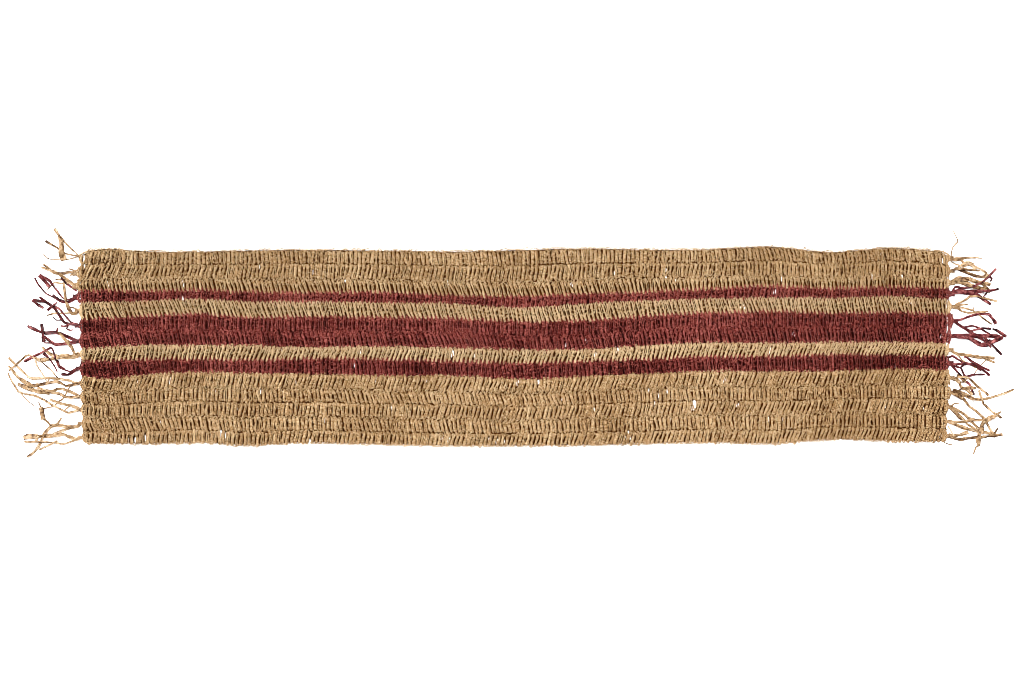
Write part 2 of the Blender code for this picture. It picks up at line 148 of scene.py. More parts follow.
# Their way. Columns: how far out from the row's end, how far off the middle the outer two lie, level.
KNOT_WAY = ((-7.0, 5.0, 2.6), (0.0, 3.0, 3.4), (3.4, 2.0, 2.9), (9.0, 2.8, 1.4))
KNOT_WIDTH = 2.2
KNOT_THICK = 1.8
KNOT_TURNS = (1.6, 3.6)     # how far out the two turns lie that hold them
TURN_HALF = 3.0        # half a turn's size up the cloth
TURN_LEVEL = 0.8       # of its ends,
TURN_RISE = 3.4        # and how far it rises above them
TURN_SLANT = 1.1       # how far out or in its ends lie from its middle
TURN_THICK = 1.3
KNOT_SPREAD = 2.4      # loose strips begin this far above or below the knot's middle at most,
KNOT_LIFT = 1.8        # this high,
KNOT_FALL = 22.0       # and come down to the floor over this distance
LOOSE_STATIONS = 21
LOOSE_EASE = 0.55      # how soft their bends are
RIPPLE = 0.07          # share by which their width rises and falls, in waves of this length over 2 pi
RIPPLE_WAVE = 5.0
TIP_FROM = 0.97        # share of the way from which they have only this share of their width
TIP_SHARE = 0.8
# How far they turn round their own lines, in radians, each with waves of this length over 2 pi.
LOOSE_TURNS = ((0.5, 9.0), (0.2, 4.0))
TAKEN_UP = 0.35        # share of their width to each side that other strips climb over
MOST_LIFT = 4.5
FIBRE_WIDTHS = (0.9, 0.4)     # of the fibres beside them, at the start and the tip
FIBRE_THICK = 0.7
FIBRE_BESIDE = 1.2     # they begin this far to either side of the strip's middle at most,
FIBRE_LEVEL = 1.3      # this far above its underside,
FIBRE_RISE = 1.2       # and rise by this much more to their tips
SPLAY = 5.0            # usual distance of a fibre's tip from the strip's
STRIP_THICK = 1.0
FULLER = 1.62          # strips are this many times as wide as they look from above, as they lie part turned
CLIMB = 0.45           # steepest rise of a strip over what it crosses
CROSSING = 0.2         # room between two strips that cross
LOOSE_GRAIN = 0.15     # a loose strip's map is this share of its length, so its blotches and painted crease shade are that much longer
# The knots that aren't in the middle of their row's end, or are bigger or smaller than usual. Columns: row,
# side (0 left, 1 right), how far above the middle, size.
KNOTS = {
    (1, 0): (5.0, 0.8), (2, 0): (0.0, 1.6), (3, 0): (-2.0, 1.7), (4, 0): (0.0, 1.6),
    (3, 1): (0.0, 1.4), (4, 1): (0.0, 1.4), (5, 1): (0.0, 1.3), (9, 1): (0.0, 1.3),
}

# The row ends that stand out from the rest. Columns: row, side, by how much.
STANDS_OUT = {(2, 0): 4.0, (3, 0): 5.0, (4, 0): 5.0, (5, 0): 1.5, (6, 1): 1.5}

# The stripes and edges. Columns: place along the cloth, then how far up (+) or down (-) these lines lie
# there: the cloth's upper edge, the top of red row 4, its foot, the top of red row 6, the foot of red row 7,
# the top of red row 9, its foot, and the cloth's lower edge.
STATIONS = np.array([
    # x     edge  top4  foot4  top6  foot7  top9  foot9  edge
    (-864,  192,  113,   87,   56,   -5,  -27,  -60, -195),
    (-818,  198,  114,   88,   58,   -3,  -28,  -67, -196),
    (-747,  194,  112,   90,   61,    1,  -25,  -59, -197),
    (-626,  193,  115,   94,   67,    1,  -25,  -53, -195),
    (-536,  195,  111,   89,   60,    1,  -27,  -55, -200),
    (-425,  196,  109,   89,   61,   -3,  -24,  -57, -195),
    (-263,  195,  110,   87,   60,   -1,  -25,  -60, -198),
    (-102,  193,  103,   84,   57,   -5,  -29,  -61, -201),
    (19,    196,  102,   77,   51,   -8,  -32,  -67, -201),
    (160,   199,  107,   86,   54,   -7,  -29,  -61, -199),
    (261,   197,  110,   91,   62,    0,  -25,  -57, -197),
    (382,   197,  116,   95,   68,    6,  -20,  -52, -194),
    (533,   202,  123,   97,   71,    5,  -19,  -52, -196),
    (644,   192,  118,   96,   68,    7,  -15,  -51, -188),
    (765,   200,  121,  100,   70,    7,  -16,  -47, -191),
    (880,   192,  118,   94,   66,    5,  -18,  -49, -193),
], dtype=float)

# Each joint between rows lies between two of the columns above. Columns: upper column, lower column, share.
JOINTS = (
    (1, 1, 0.0), (1, 3, 0.275), (1, 3, 0.55), (2, 2, 0.0), (3, 3, 0.0), (4, 4, 0.0), (4, 5, 0.47),
    (5, 5, 0.0), (6, 6, 0.0), (7, 7, 0.0), (7, 8, 0.2), (7, 8, 0.4), (7, 8, 0.6), (7, 8, 0.81), (8, 8, 0.0),
)
ROWS = len(JOINTS) - 1
RED_ROWS = (4, 6, 7, 9)

# Columns: x of the left end and of the right end of each row.
ROW_ENDS = (
    (-866, 882), (-868, 884), (-868, 884), (-867, 884), (-866, 886), (-868, 889), (-867, 886),
    (-866, 882), (-866, 882), (-865, 884), (-865, 886), (-864, 881), (-862, 878), (-862, 878),
)

# How many degrees the stitches of each row lean, their feet to the right where it is above zero, at these
# places along the cloth.
LEAN_AT = (-828, -626, -374, -52, 261, 583, 825)
LEANS = {
    1: (-5, 3, 4, 8, 1, 11, 8),
    2: (-20, -12, -3, -10, -2, 0, 2),
    3: (15, 15, 20, 20, 18, 8, 5),
    4: (0, -4, -4, -6, -8, -5, 0),
    5: (22, 28, 24, 22, 20, 24, 18),
    6: (3, 0, 2, 0, 4, 3, 0),
    7: (14, 14, 14, 20, 12, 12, 12),
    8: (-18, -12, -20, -12, -15, -22, -22),
    9: (18, 8, 6, 10, 12, 10, 5),
    10: (-12, -14, -14, -18, -15, -20, -18),
    11: (12, 0, 12, 22, 6, 4, 2),
    12: (0, 0, -3, -10, -16, -16, -16),
    13: (24, 12, 8, 12, 6, 3, 4),
    14: (-2, -3, -4, -12, -14, -16, -14),
}

# How the stitches of each row begin and end. Columns: top, foot.
ROW_WAYS = {
    1: ("edge", "tucked"), 2: ("vees", "under"), 3: ("humps", "teeth"), 4: ("covered", "behind"),
    5: ("peaks", "teeth"), 6: ("covered", "under"), 7: ("humps", "behind"), 8: ("hooks", "teeth"),
    9: ("covered", "behind"), 10: ("hooks", "under"), 11: ("humps", "tucked"), 12: ("vees", "under"),
    13: ("humps", "tucked"), 14: ("vees", "edge"),
}
# Rows that are a little paler or darker than the rest.
PALER = {1: 0.01, 2: 0.01, 3: 0.06, 5: 0.28, 8: 0.25, 9: -0.05}
# How much darker the raffia is painted at these places along the cloth: painted shade, as the light falls off
# near both ends.
FALLOFF_SHADE_AT = (-868, -790, -690, 500, 720, 886)
FALLOFF_SHADE = (0.05, 0.03, 0.0, 0.0, 0.09, 0.09)
# Rows whose legs are wider or narrower than the rest, as shares.
FULLNESS = {
    3: 0.92, 4: 0.83, 5: 0.84, 6: 0.83, 7: 0.83, 8: 0.92, 9: 0.83, 10: 1.1, 11: 1.1, 12: 1.1, 13: 1.12,
    14: 1.12,
}
# Where a front leg begins. Columns: how far above the joint, level there.
TOPS = {
    "edge": (-4.4, 2.2), "vees": (-0.3, 2.8), "humps": (-3.2, 2.4), "covered": (2.4, 1.9),
    "peaks": (2.8, 4.2), "hooks": (1.2, 3.9),
}
# Where a front leg ends. Columns: how far above the joint, level there.
FEET = {
    "tucked": (0.2, 2.4), "under": (0.8, 2.2), "behind": (-1.5, 2.1), "teeth": (-2.6, 3.9),
    "edge": (0.5, 2.9),
}
# Where short ends lie over the legs, as shares of the way down.
BITS_AT = {
    "edge": (0.1, 0.3, 0.6), "vees": (0.12, 0.85), "humps": (0.08, 0.22, 0.38),
    "covered": (0.35, 0.7), "peaks": (0.3, 0.7), "hooks": (0.15, 0.7),
}
# Where a short turn joins the stitches of a row to the next ones, as shares of the way down.
BRIDGES_AT = {
    1: (0.5, 0.85), 2: (0.15, 0.62), 4: (0.45,), 5: (0.3, 0.62), 6: (0.33, 0.66), 7: (0.3, 0.62), 8: (0.5,),
    9: (0.32, 0.62), 10: (0.85,), 11: (0.85,), 12: (0.15,), 13: (0.85,), 14: (0.15,),
}
# The short loops at the top of each stitch, each as three places on its way. Columns: share of the pitch to
# the right of the leg's top, and how far above it.
LOOPS = {
    "edge": (((-0.56, 2.2), (-0.10, 5.0), (0.38, 3.4)), ((-0.50, 1.6), (0.04, -0.6), (0.56, 1.0))),
    "vees": (((0.06, -7.5), (-0.14, -3.6), (-0.44, -0.4)),),
    "humps": (((0.46, -2.2), (0.02, 3.2), (-0.46, 0.2)), ((-0.12, -4.4), (0.26, -1.2), (0.56, 3.0))),
    "covered": (((0.30, -4.4), (0.00, -1.8), (-0.40, -3.4)), ((0.55, -5.0), (0.05, -7.2), (-0.45, -5.2)),
                ((-0.24, -9.3), (0.12, -6.0), (0.50, -8.8))),
    "peaks": (((0.14, 0.4), (-0.28, -4.2), (-0.56, -11.0)),),
    "hooks": (((0.24, -0.8), (-0.12, 1.2), (-0.56, -1.4)), ((-0.52, -1.0), (-0.24, -4.0), (0.00, -8.5))),
}
# The turn at the foot of each stitch in the same way, from the leg's foot.
FOOT_LOOPS = {
    "tucked": (),
    "teeth": (),
    "under": (((-0.42, 3.4), (0.00, -1.0), (0.40, 3.0)),),
    "behind": (((-0.42, 7.2), (0.00, 4.2), (0.40, 6.8)),),
    "edge": (((-0.60, 2.2), (-0.08, -1.6), (0.46, 1.9)),),
}

# Gaps between stitches that the light shows through. Columns: x, y, width, height.
GAPS = (
    (-860, 160, 5, 8), (-860, 178, 6, 9), (-811, 126, 3, 8), (-755, -188, 4, 8), (-737, -185, 4, 10),
    (-686, -68, 4, 10), (-660, 126, 3, 10), (-584, -176, 3, 12), (-576, -180, 4, 10), (-273, -68, 4, 8),
    (-139, -182, 4, 10), (-126, -188, 4, 8), (-118, -15, 6, 10), (13, -74, 3, 12), (55, -72, 6, 6),
    (124, 124, 4, 6), (170, -17, 5, 8), (215, -7, 3, 8), (235, -178, 4, 12), (331, 132, 4, 8),
    (367, -120, 12, 18), (430, -68, 6, 6), (456, -118, 5, 6), (470, 80, 3, 10), (522, -9, 4, 12),
    (532, 110, 3, 8), (546, 136, 3, 8), (806, 90, 4, 6), (829, -126, 4, 6), (866, -179, 4, 8),
    (869, 174, 4, 8), (869, 19, 4, 8),
)
# Smaller ones, all of the same size. Columns: x, y.
PINHOLE = (1.6, 6.5)
PINHOLES = (
    (-660, 98), (-752, -72), (-771, -188), (-705, -126), (-705, -150), (-507, 159), (-596, -92), (-503, -92),
    (-550, -124), (-461, -9), (-433, -72), (-332, 130), (-398, 150), (-241, -124), (-374, -150), (-405, -191),
    (-314, -39), (-302, -11), (-201, -180), (-126, 128), (-72, -19), (-169, -68), (-44, -188), (-28, -191),
    (-13, -191), (-54, -158), (210, 148), (111, 3), (153, 11), (104, -106), (168, -126), (241, -184),
    (312, 154), (313, 138), (279, -90), (299, -100), (316, -90), (289, -116), (464, 78), (321, -148),
    (519, -146), (549, -146), (570, 25), (789, 140), (728, 140), (743, 188), (755, -120), (741, -59),
    (774, -39), (880, 37), (878, 7),
)

# The loose strips at the left end of each row, in the order in which they were laid. Columns: width at the
# start, width at the tip, then the places on the strip's way, as how far out from the row's end and how far
# above its middle. A way from (0, 0) comes out of the row's knot, and most others start on an earlier strip.
LEFT_WAYS = {
    1: ((1.4, 3.2, (0, 0), (17, 7), (30, 10), (41, 18), (70, 35)),
        (1.3, 3.6, (0, 0), (20, 21), (34, 36), (43, 47), (52, 60)),
        (8.5, 4.6, (32, -4), (37, 10), (38, 34), (43, 46)),
        (2.6, 4.2, (37, 32), (43, 47), (51, 59)),
        (1.6, 1.2, (0, 0), (14, 1), (29, -3)),
        (1.2, 0.8, (33, -3), (62, -1), (76, 9))),
    2: ((4.0, 3.0, (0, 0), (19, 1), (38, -2), (56, 4), (63, 10), (72, 17)),
        (3.0, 2.6, (50, 1), (62, 6), (76, 11)),
        (2.4, 1.6, (0, 0), (10, 5), (20, 8)),
        (2.4, 1.6, (0, 0), (10, -3), (19, -5))),
    3: ((5.2, 4.4, (0, 0), (14, 3), (29, 13), (40, 22), (54, 28)),
        (2.2, 1.8, (29, 13), (37, 11), (48, 11)),
        (2.0, 1.4, (0, 0), (18, 4), (37, 4), (49, 6), (54, 2), (64, -9))),
    4: ((4.4, 3.6, (0, 0), (24, -11), (40, -7), (49, -1), (54, 4)),
        (1.8, 2.2, (0, 0), (21, -5), (34, -2), (43, 9), (54, 23)),
        (2.6, 4.8, (53, 22), (60, 32), (70, 38), (81, 44)),
        (4.8, 4.2, (81, 44), (68, 29), (60, 20)),
        (1.6, 2.2, (38, -7), (65, 5), (72, 11), (84, 26), (91, 39)),
        (3.0, 2.6, (6, 12), (24, 25), (38, 39))),
    5: ((5.0, 5.0, (0, 0), (9, -4), (16, -5), (24, 6)),
        (4.2, 3.0, (23, 5), (29, 24), (31, 37), (33, 58)),
        (1.8, 2.0, (0, 0), (27, -4), (53, -5), (67, -9)),
        (2.2, 1.4, (0, 0), (12, 6), (22, 8))),
    6: ((3.8, 3.4, (0, 0), (26, 5), (34, 12), (43, 26), (51, 37), (65, 47), (80, 58)),
        (2.2, 3.0, (0, 0), (16, 7), (29, 21), (40, 34), (53, 40)),
        (2.8, 4.0, (52, 39), (68, 48), (81, 50), (94, 52)),
        (4.2, 3.0, (94, 52), (84, 43), (72, 36)),
        (3.4, 1.8, (64, 31), (53, 40), (45, 48)),
        (2.4, 1.8, (20, 1), (29, -1), (37, 0)),
        (1.8, 1.6, (22, 1), (25, -6), (19, -9), (12, -8)),
        (1.4, 1.4, (34, 12), (46, 12), (53, 18))),
    7: ((4.6, 4.0, (0, 0), (21, 7), (34, 13), (48, 17), (68, 16), (81, 19), (105, 30)),
        (3.0, 1.6, (50, 17), (46, 19), (44, 26)),
        (4.8, 3.4, (0, 0), (24, -5), (49, -7), (65, 4), (71, 9)),
        (1.8, 1.6, (49, -7), (59, -4), (72, -4)),
        (3.8, 5.0, (77, 34), (74, 15), (72, -2))),
    8: ((7.4, 6.4, (0, 0), (16, -5), (33, -4), (46, -5)),
        (5.6, 2.4, (44, -5), (59, 0), (70, 8), (77, 15)),
        (4.0, 5.6, (42, -6), (50, -8), (65, -10), (82, -12)),
        (5.2, 2.6, (81, -12), (91, -7), (96, -2)),
        (2.0, 5.6, (0, 0), (11, 2), (18, 16), (25, 26)),
        (5.4, 2.6, (24, 25), (29, 29), (38, 39), (46, 45))),
    9: ((4.6, 3.6, (0, 0), (12, -5), (23, -13), (38, -12)),
        (1.8, 2.2, (0, 0), (20, -7), (42, 1), (47, 13), (55, 36), (59, 42)),
        (2.6, 4.0, (58, 42), (72, 34), (98, 21), (113, 13)),
        (1.4, 1.8, (46, -7), (52, 4), (60, 16)),
        (3.0, 4.4, (60, 16), (65, 22), (74, 30)),
        (2.4, 1.8, (30, -3), (42, 5), (44, 14), (52, 20))),
    10: ((3.2, 3.0, (0, 0), (13, 1), (23, 5), (42, 8), (65, 10), (100, 9), (110, 17), (131, 36), (145, 51)),
         (3.6, 4.0, (0, 0), (28, -6), (38, -1), (49, 3), (65, 0), (85, -4)),
         (4.6, 6.0, (84, -4), (98, -5), (110, 0)),
         (5.6, 2.4, (109, 0), (127, 12), (139, 28), (146, 34)),
         (1.5, 1.8, (63, 10), (67, 2), (75, 15), (88, 35), (92, 50)),
         (2.2, 2.8, (91, 49), (103, 56), (111, 54), (131, 36), (145, 25)),
         (1.6, 1.4, (42, 8), (49, 13), (59, 25), (72, 36), (80, 44)),
         (2.0, 1.5, (0, 0), (20, -5), (28, -19), (36, -32), (46, -39), (55, -47), (77, -52))),
    11: ((3.8, 3.4, (0, 0), (20, 9), (36, 15), (46, 15), (55, 11), (72, 12), (87, 18)),
         (3.6, 3.6, (0, 0), (29, -1), (42, 5), (65, 9), (85, 11)),
         (4.0, 7.0, (84, 11), (95, 13), (106, 17)),
         (6.6, 3.4, (105, 17), (115, 20), (127, 25)),
         (4.0, 3.4, (62, 6), (85, 9), (110, 16)),
         (2.6, 1.6, (0, 0), (16, -3), (23, -4))),
    12: ((4.4, 3.0, (0, 0), (11, 5), (23, 9), (39, 12), (49, 16), (63, 20)),
         (3.0, 2.6, (0, 0), (13, -3), (26, -6), (33, -3), (49, 5), (62, 12), (78, 22)),
         (2.8, 2.6, (77, 21), (95, 29), (114, 32), (126, 36)),
         (2.6, 2.0, (126, 36), (137, 53), (145, 67), (147, 75)),
         (1.8, 1.6, (22, 9), (28, 4), (33, 0)),
         (1.3, 0.9, (121, 33), (110, 20), (91, 5))),
    13: ((4.6, 4.6, (0, 0), (10, -6), (23, -7), (49, -3), (62, -5)),
         (4.4, 3.4, (61, -4), (77, -21), (82, -34), (90, -50), (101, -61), (111, -67)),
         (2.4, 3.0, (62, -5), (77, 10)),
         (4.6, 7.0, (78, 8), (80, 19), (82, 33)),
         (1.6, 1.0, (82, 32), (88, 43)),
         (2.8, 1.6, (50, -2), (47, 3), (42, 11)),
         (3.6, 3.6, (18, -7), (39, -14), (59, -22))),
    14: ((4.8, 5.0, (0, 0), (13, -4), (26, 1), (38, 6), (59, 4)),
         (5.4, 6.4, (58, 4), (85, 2), (110, 2), (118, -2)),
         (2.6, 2.4, (0, 0), (36, -13), (59, -10), (87, -9), (117, -9)),
         (3.2, 2.8, (88, 3), (91, -3), (93, -8)),
         (2.2, 2.8, (50, -7), (72, -18), (87, -25))),
}
RIGHT_WAYS = {
    1: ((6.4, 3.0, (0, 0), (10, -3), (22, -2), (36, 0)),
        (2.8, 1.6, (35, 0), (54, 1), (66, -1)),
        (3.0, 3.2, (22, -3), (33, -12), (48, -16), (66, -24), (75, -31), (72, -35)),
        (1.8, 1.6, (0, 0), (4, -7), (14, -13), (24, -15)),
        (1.4, 1.2, (0, 0), (8, 22), (18, 34), (9, 54))),
    2: ((4.0, 4.0, (0, 0), (14, 5), (25, 1), (39, -5), (54, -10), (69, -11), (76, -5)),
        (4.0, 2.2, (10, 5), (22, 5), (39, 3), (60, 1)),
        (3.4, 2.8, (16, 8), (27, 15), (36, 19), (48, 14)),
        (3.0, 3.6, (24, 8), (36, 14), (47, 10), (51, 3))),
    3: ((6.6, 6.6, (0, 0), (17, 8), (39, 8)),
        (6.4, 4.2, (38, 8), (54, 2), (69, -1), (82, -3)),
        (6.4, 6.0, (0, 0), (17, 3), (32, -1), (47, -7)),
        (6.0, 4.6, (46, -7), (69, -13), (82, -17)),
        (3.6, 3.2, (64, 0), (71, -8), (77, -13))),
    4: ((3.4, 3.2, (0, 0), (10, 14), (22, 12), (36, 13), (51, 16)),
        (3.2, 2.8, (50, 16), (66, 25), (79, 36), (93, 51)),
        (6.0, 7.4, (0, 0), (17, 5), (34, 3), (51, 0)),
        (5.4, 3.8, (50, 0), (66, -10), (82, -21)),
        (5.0, 4.6, (33, 5), (54, 5), (69, 6)),
        (3.6, 2.8, (68, 6), (84, 7), (98, 10)),
        (2.0, 1.6, (76, 6), (72, 0), (66, -7)),
        (2.4, 2.0, (79, 35), (84, 31), (81, 25))),
    5: ((2.8, 3.0, (0, 0), (17, 8), (29, 14), (39, 22)),
        (2.6, 2.8, (38, 21), (54, 21), (68, 17), (93, 11)),
        (2.6, 2.0, (0, 0), (22, 4), (35, 5)),
        (2.8, 2.4, (0, 0), (17, -1), (32, -4), (44, -7)),
        (2.8, 2.6, (0, 0), (13, -3), (22, -9), (36, -12), (54, -11), (75, -9)),
        (2.0, 2.2, (43, -7), (51, -12), (66, -24), (82, -35)),
        (1.4, 1.2, (44, -7), (45, -1))),
    6: ((3.2, 3.2, (0, 0), (15, 2), (31, 8), (49, 13), (63, 14), (74, 14)),
        (4.2, 4.8, (73, 14), (80, 5), (88, -6)),
        (3.8, 4.2, (0, 0), (13, -8), (24, -15), (34, -21), (43, -27)),
        (4.2, 3.4, (42, -27), (61, -30), (93, -33)),
        (2.4, 2.4, (23, -13), (40, -10), (53, -14), (65, -21), (75, -27)),
        (2.6, 3.0, (36, -21), (49, -17), (61, -15), (78, -16)),
        (3.0, 4.2, (80, -16), (89, -19), (108, -32))),
    7: ((5.4, 5.8, (0, 0), (15, 1), (31, 1), (49, -1), (65, -1)),
        (5.6, 4.0, (64, 0), (81, 1), (99, -1)),
        (4.6, 5.8, (0, 0), (15, -2), (34, -3), (46, -10), (60, -18)),
        (5.8, 5.2, (59, -18), (74, -17), (89, -9), (105, -2)),
        (3.0, 2.8, (52, -2), (63, -7), (71, -13), (81, -23)),
        (3.2, 3.0, (66, -3), (81, -16), (92, -27), (102, -38)),
        (2.4, 1.8, (70, -12), (78, -8), (84, -12))),
    8: ((3.6, 4.6, (0, 0), (13, -7), (36, -11), (62, -15)),
        (4.6, 3.6, (61, -15), (80, -16), (92, -17)),
        (2.8, 2.6, (64, -15), (73, -18), (92, -26)),
        (2.6, 2.2, (12, -7), (19, -12), (28, -23), (47, -32), (54, -37)),
        (1.3, 1.0, (77, -18), (62, -34), (50, -49))),
    9: ((2.8, 2.6, (-2, 11), (7, 14), (16, 9), (28, 1)),
        (3.6, 3.6, (0, 0), (21, -2), (32, -1), (47, -2)),
        (4.8, 6.2, (46, -2), (58, -7), (67, -13)),
        (2.8, 2.8, (30, 12), (34, 13), (47, 3), (64, -7), (82, -15)),
        (3.0, 3.0, (66, -12), (75, -19), (82, -25)),
        (3.4, 3.0, (0, 0), (11, -11), (21, -22), (28, -30)),
        (2.8, 3.6, (28, -29), (32, -36), (41, -42), (47, -57), (50, -64)),
        (2.4, 2.6, (14, -6), (24, -10), (28, -19), (32, -27)),
        (2.8, 2.6, (31, -26), (36, -27), (53, -23), (72, -23)),
        (2.2, 2.2, (10, -6), (21, -9), (28, -5), (32, 1))),
    10: ((4.0, 3.4, (0, 0), (9, -3), (16, 2)),
         (4.4, 3.8, (10, -2), (19, -9), (22, -18), (33, -23), (45, -34)),
         (4.4, 5.2, (24, -21), (37, -20), (45, -20)),
         (4.4, 1.8, (44, -20), (53, -20)),
         (3.4, 2.6, (14, 6), (19, 3), (25, -4), (32, -9)),
         (2.4, 3.4, (15, 2), (37, 0), (57, -18), (78, -35)),
         (1.8, 1.6, (20, -8), (27, -8), (31, -3), (36, -1))),
    11: ((7.2, 8.0, (0, 0), (12, 0), (22, -4)),
         (6.6, 3.4, (21, -3), (30, -6), (45, -13), (59, -15)),
         (3.4, 2.6, (58, -15), (76, -12), (99, -5), (114, 0), (127, 6)),
         (5.6, 4.4, (0, 0), (14, -8), (25, -13)),
         (3.4, 3.2, (24, -12), (37, -28), (53, -40), (68, -54)),
         (3.2, 2.6, (56, 4), (62, -14), (66, -25)),
         (2.8, 3.0, (66, -24), (83, -39), (102, -52)),
         (2.2, 1.8, (0, 0), (14, 3), (22, 8))),
    12: ((3.8, 3.4, (0, 0), (17, -7), (33, -16), (42, -26), (54, -38), (63, -46)),
         (4.4, 3.8, (0, 0), (11, -10), (20, -21), (29, -26)),
         (2.2, 1.8, (28, -14), (39, -22), (57, -26), (71, -26)),
         (3.2, 2.4, (9, -7), (26, -21), (38, -36)),
         (2.0, 1.4, (0, 0), (12, 6), (22, 7))),
    13: ((3.6, 3.2, (0, 0), (15, -2), (33, -1), (51, 2), (71, 3)),
         (4.2, 5.2, (0, 0), (25, -10), (43, -16), (63, -19)),
         (4.6, 3.6, (62, -19), (80, -23), (96, -27)),
         (5.4, 6.8, (68, -25), (70, -8), (76, 1)),
         (6.8, 6.4, (75, 0), (85, 6), (94, 10)),
         (4.4, 3.2, (93, 9), (108, 19)),
         (3.4, 3.4, (77, 1), (82, -8), (88, -18), (97, -32)),
         (3.2, 3.0, (94, -26), (102, -14)),
         (3.0, 2.6, (40, -5), (50, -12), (62, -20))),
    14: ((4.2, 3.8, (0, 0), (15, -5), (29, -7), (43, -4), (66, -3)),
         (3.6, 3.6, (65, -3), (89, 0), (112, 3)),
         (4.6, 6.6, (64, 9), (63, -4), (63, -21)),
         (2.4, 1.4, (59, -20), (53, -37)),
         (5.0, 4.4, (0, 0), (14, 0), (28, 3), (43, 8)),
         (1.8, 1.6, (2, 20), (8, 10), (14, -1)),
         (1.5, 1.0, (-6, -13), (4, -17), (11, -17))),
}


def linear(colour):
    """A colour given as sRGB hex, as the linear numbers that shaders take.

    A part up to 0.04045 is divided by 12.92, and one above is ((part + 0.055) / 1.055) to the power of 2.4.
    """
    parts = [int(colour[k:k + 2], 16) / 255 for k in (1, 3, 5)]
    return (*[p / 12.92 if p <= 0.04045 else ((p + 0.055) / 1.055) ** 2.4 for p in parts], 1.0)


def node(tree, kind, values=None, links=None, **settings):
    """Adds one node: settings are its own properties, values go to its inputs, links join outputs to them."""
    made = tree.nodes.new(kind)
    for name, value in settings.items():
        setattr(made, name, value)
    for name, value in (values or {}).items():
        made.inputs[name].default_value = value
    for name, output in (links or {}).items():
        tree.links.new(output, made.inputs[name])
    return made


def new_material(name, roughness, gloss):
    """A material with one plain shader. Returns it with its tree and its shader."""
    material = bpy.data.materials.new(name)
    material.use_nodes = True
    shader = material.node_tree.nodes["Principled BSDF"]
    shader.inputs["Roughness"].default_value = roughness
    shader.inputs["Specular IOR Level"].default_value = gloss
    return material, material.node_tree, shader


def noise(tree, place, grain, detail, roughness):
    """Soft noise over a place, as many times finer along each way as the grain says."""
    scaled = node(tree, "ShaderNodeMapping", {"Scale": grain}, {"Vector": place})
    made = node(tree, "ShaderNodeTexNoise", {"Scale": 1.0, "Detail": detail, "Roughness": roughness},
                {"Vector": scaled.outputs["Vector"]})
    return made.outputs["Fac"]


def tint(tree, shader, share, span, dark, pale):
    """Colours the shader from dark to pale as the share goes through the span. Returns the ramp's stops."""
    ramp = node(tree, "ShaderNodeValToRGB", links={"Fac": share})
    tree.links.new(ramp.outputs["Color"], shader.inputs["Base Color"])
    stops = ramp.color_ramp.elements
    for stop, position, colour in zip(stops, span, (dark, pale)):
        stop.position = position
        stop.color = linear(colour)
    return stops


def relief(tree, shader, height, strength, distance):
    """Lets the height from 0 to 1 show as a relief that is distance deep, in metres."""
    bump = node(tree, "ShaderNodeBump", {"Strength": strength, "Distance": distance}, {"Height": height})
    tree.links.new(bump.outputs["Normal"], shader.inputs["Normal"])


def raffia(name, deep, middle, pale, roughness, gloss):
    """Raffia: strips of dried palm leaf, folded along their length and worked with a hook.

    Each strip has a tone of its own, fine fibres run along it, and the leaf's skin gives a faint satin gloss.
    The share of the way from deep over middle to pale is tone + FIBRE_SHARE * (fibres - 1/2) + the blotch
    share * (blotches - 1/2). The blotches are partly leaf dried darker and partly painted shade of creases
    across it.
    """
    material, tree, shader = new_material(name, roughness, gloss)
    shader.inputs["IOR"].default_value = 1.46
    tone = node(tree, "ShaderNodeAttribute", attribute_name="tone").outputs["Fac"]
    along = node(tree, "ShaderNodeUVMap", uv_map="along_strip").outputs["UV"]
    fibres = noise(tree, along, FIBRE_GRAIN, 2.0, 0.6)
    # Blotches: partly darker dried leaf, partly painted shade of creases across the strip.
    blotches_and_crease_shade = noise(tree, along, BLOTCH_AND_CREASE_SHADE_GRAIN, 3.0, 0.55)
    with_fibres = node(tree, "ShaderNodeMath", {1: FIBRE_SHARE},
                       {0: fibres, 2: tone}, operation="MULTIPLY_ADD")
    with_both = node(tree, "ShaderNodeMath", {1: BLOTCH_AND_CREASE_SHADE_SHARE},
                     {0: blotches_and_crease_shade, 2: with_fibres.outputs["Value"]}, operation="MULTIPLY_ADD")
    centred = node(tree, "ShaderNodeMath", {1: (FIBRE_SHARE + BLOTCH_AND_CREASE_SHADE_SHARE) / 2},
                   {0: with_both.outputs["Value"]}, operation="SUBTRACT")
    stops = tint(tree, shader, centred.outputs["Value"], (0.0, 1.0), deep, pale)
    stops.new(0.5).color = linear(middle)
    relief(tree, shader, fibres, 0.35, 0.0004)
    return material


def inner_layer_painted_shade(name, dark, light):
    """The hidden crossings of the strips inside the rows, as coarse felted fibre, coloured far darker than
    the raffia: painted shade, seen between the stitches.
    """
    material, tree, shader = new_material(name, 0.85, 0.05)
    place = node(tree, "ShaderNodeTexCoord").outputs["Object"]
    fibres = noise(tree, place, CROSSING_GRAIN, 3.0, 0.5)
    tint(tree, shader, fibres, (0.35, 0.75), dark, light)
    relief(tree, shader, fibres, 0.5, 0.0008)
    return material


def placed(name, data):
    """A new object in the scene, with the given mesh, lamp or camera."""
    made = bpy.data.objects.new(name, data)
    bpy.context.scene.collection.objects.link(made)
    return made


def as_piece(name, mesh, replaced):
    """A new piece of the rug, in the place of one of the solids or of a part of it."""
    thing = placed(name, mesh)
    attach(thing, "root")
    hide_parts(replaced)
    return thing


def cubic(t, start, start_slope, end, end_slope):
    """The cubic from start to end with the given slopes there, at the share t of the way."""
    return (start * (2 * t ** 3 - 3 * t ** 2 + 1) + start_slope * (t ** 3 - 2 * t ** 2 + t)
            + (end * (3 * t ** 2 - 2 * t ** 3) + end_slope * (t ** 3 - t ** 2)))


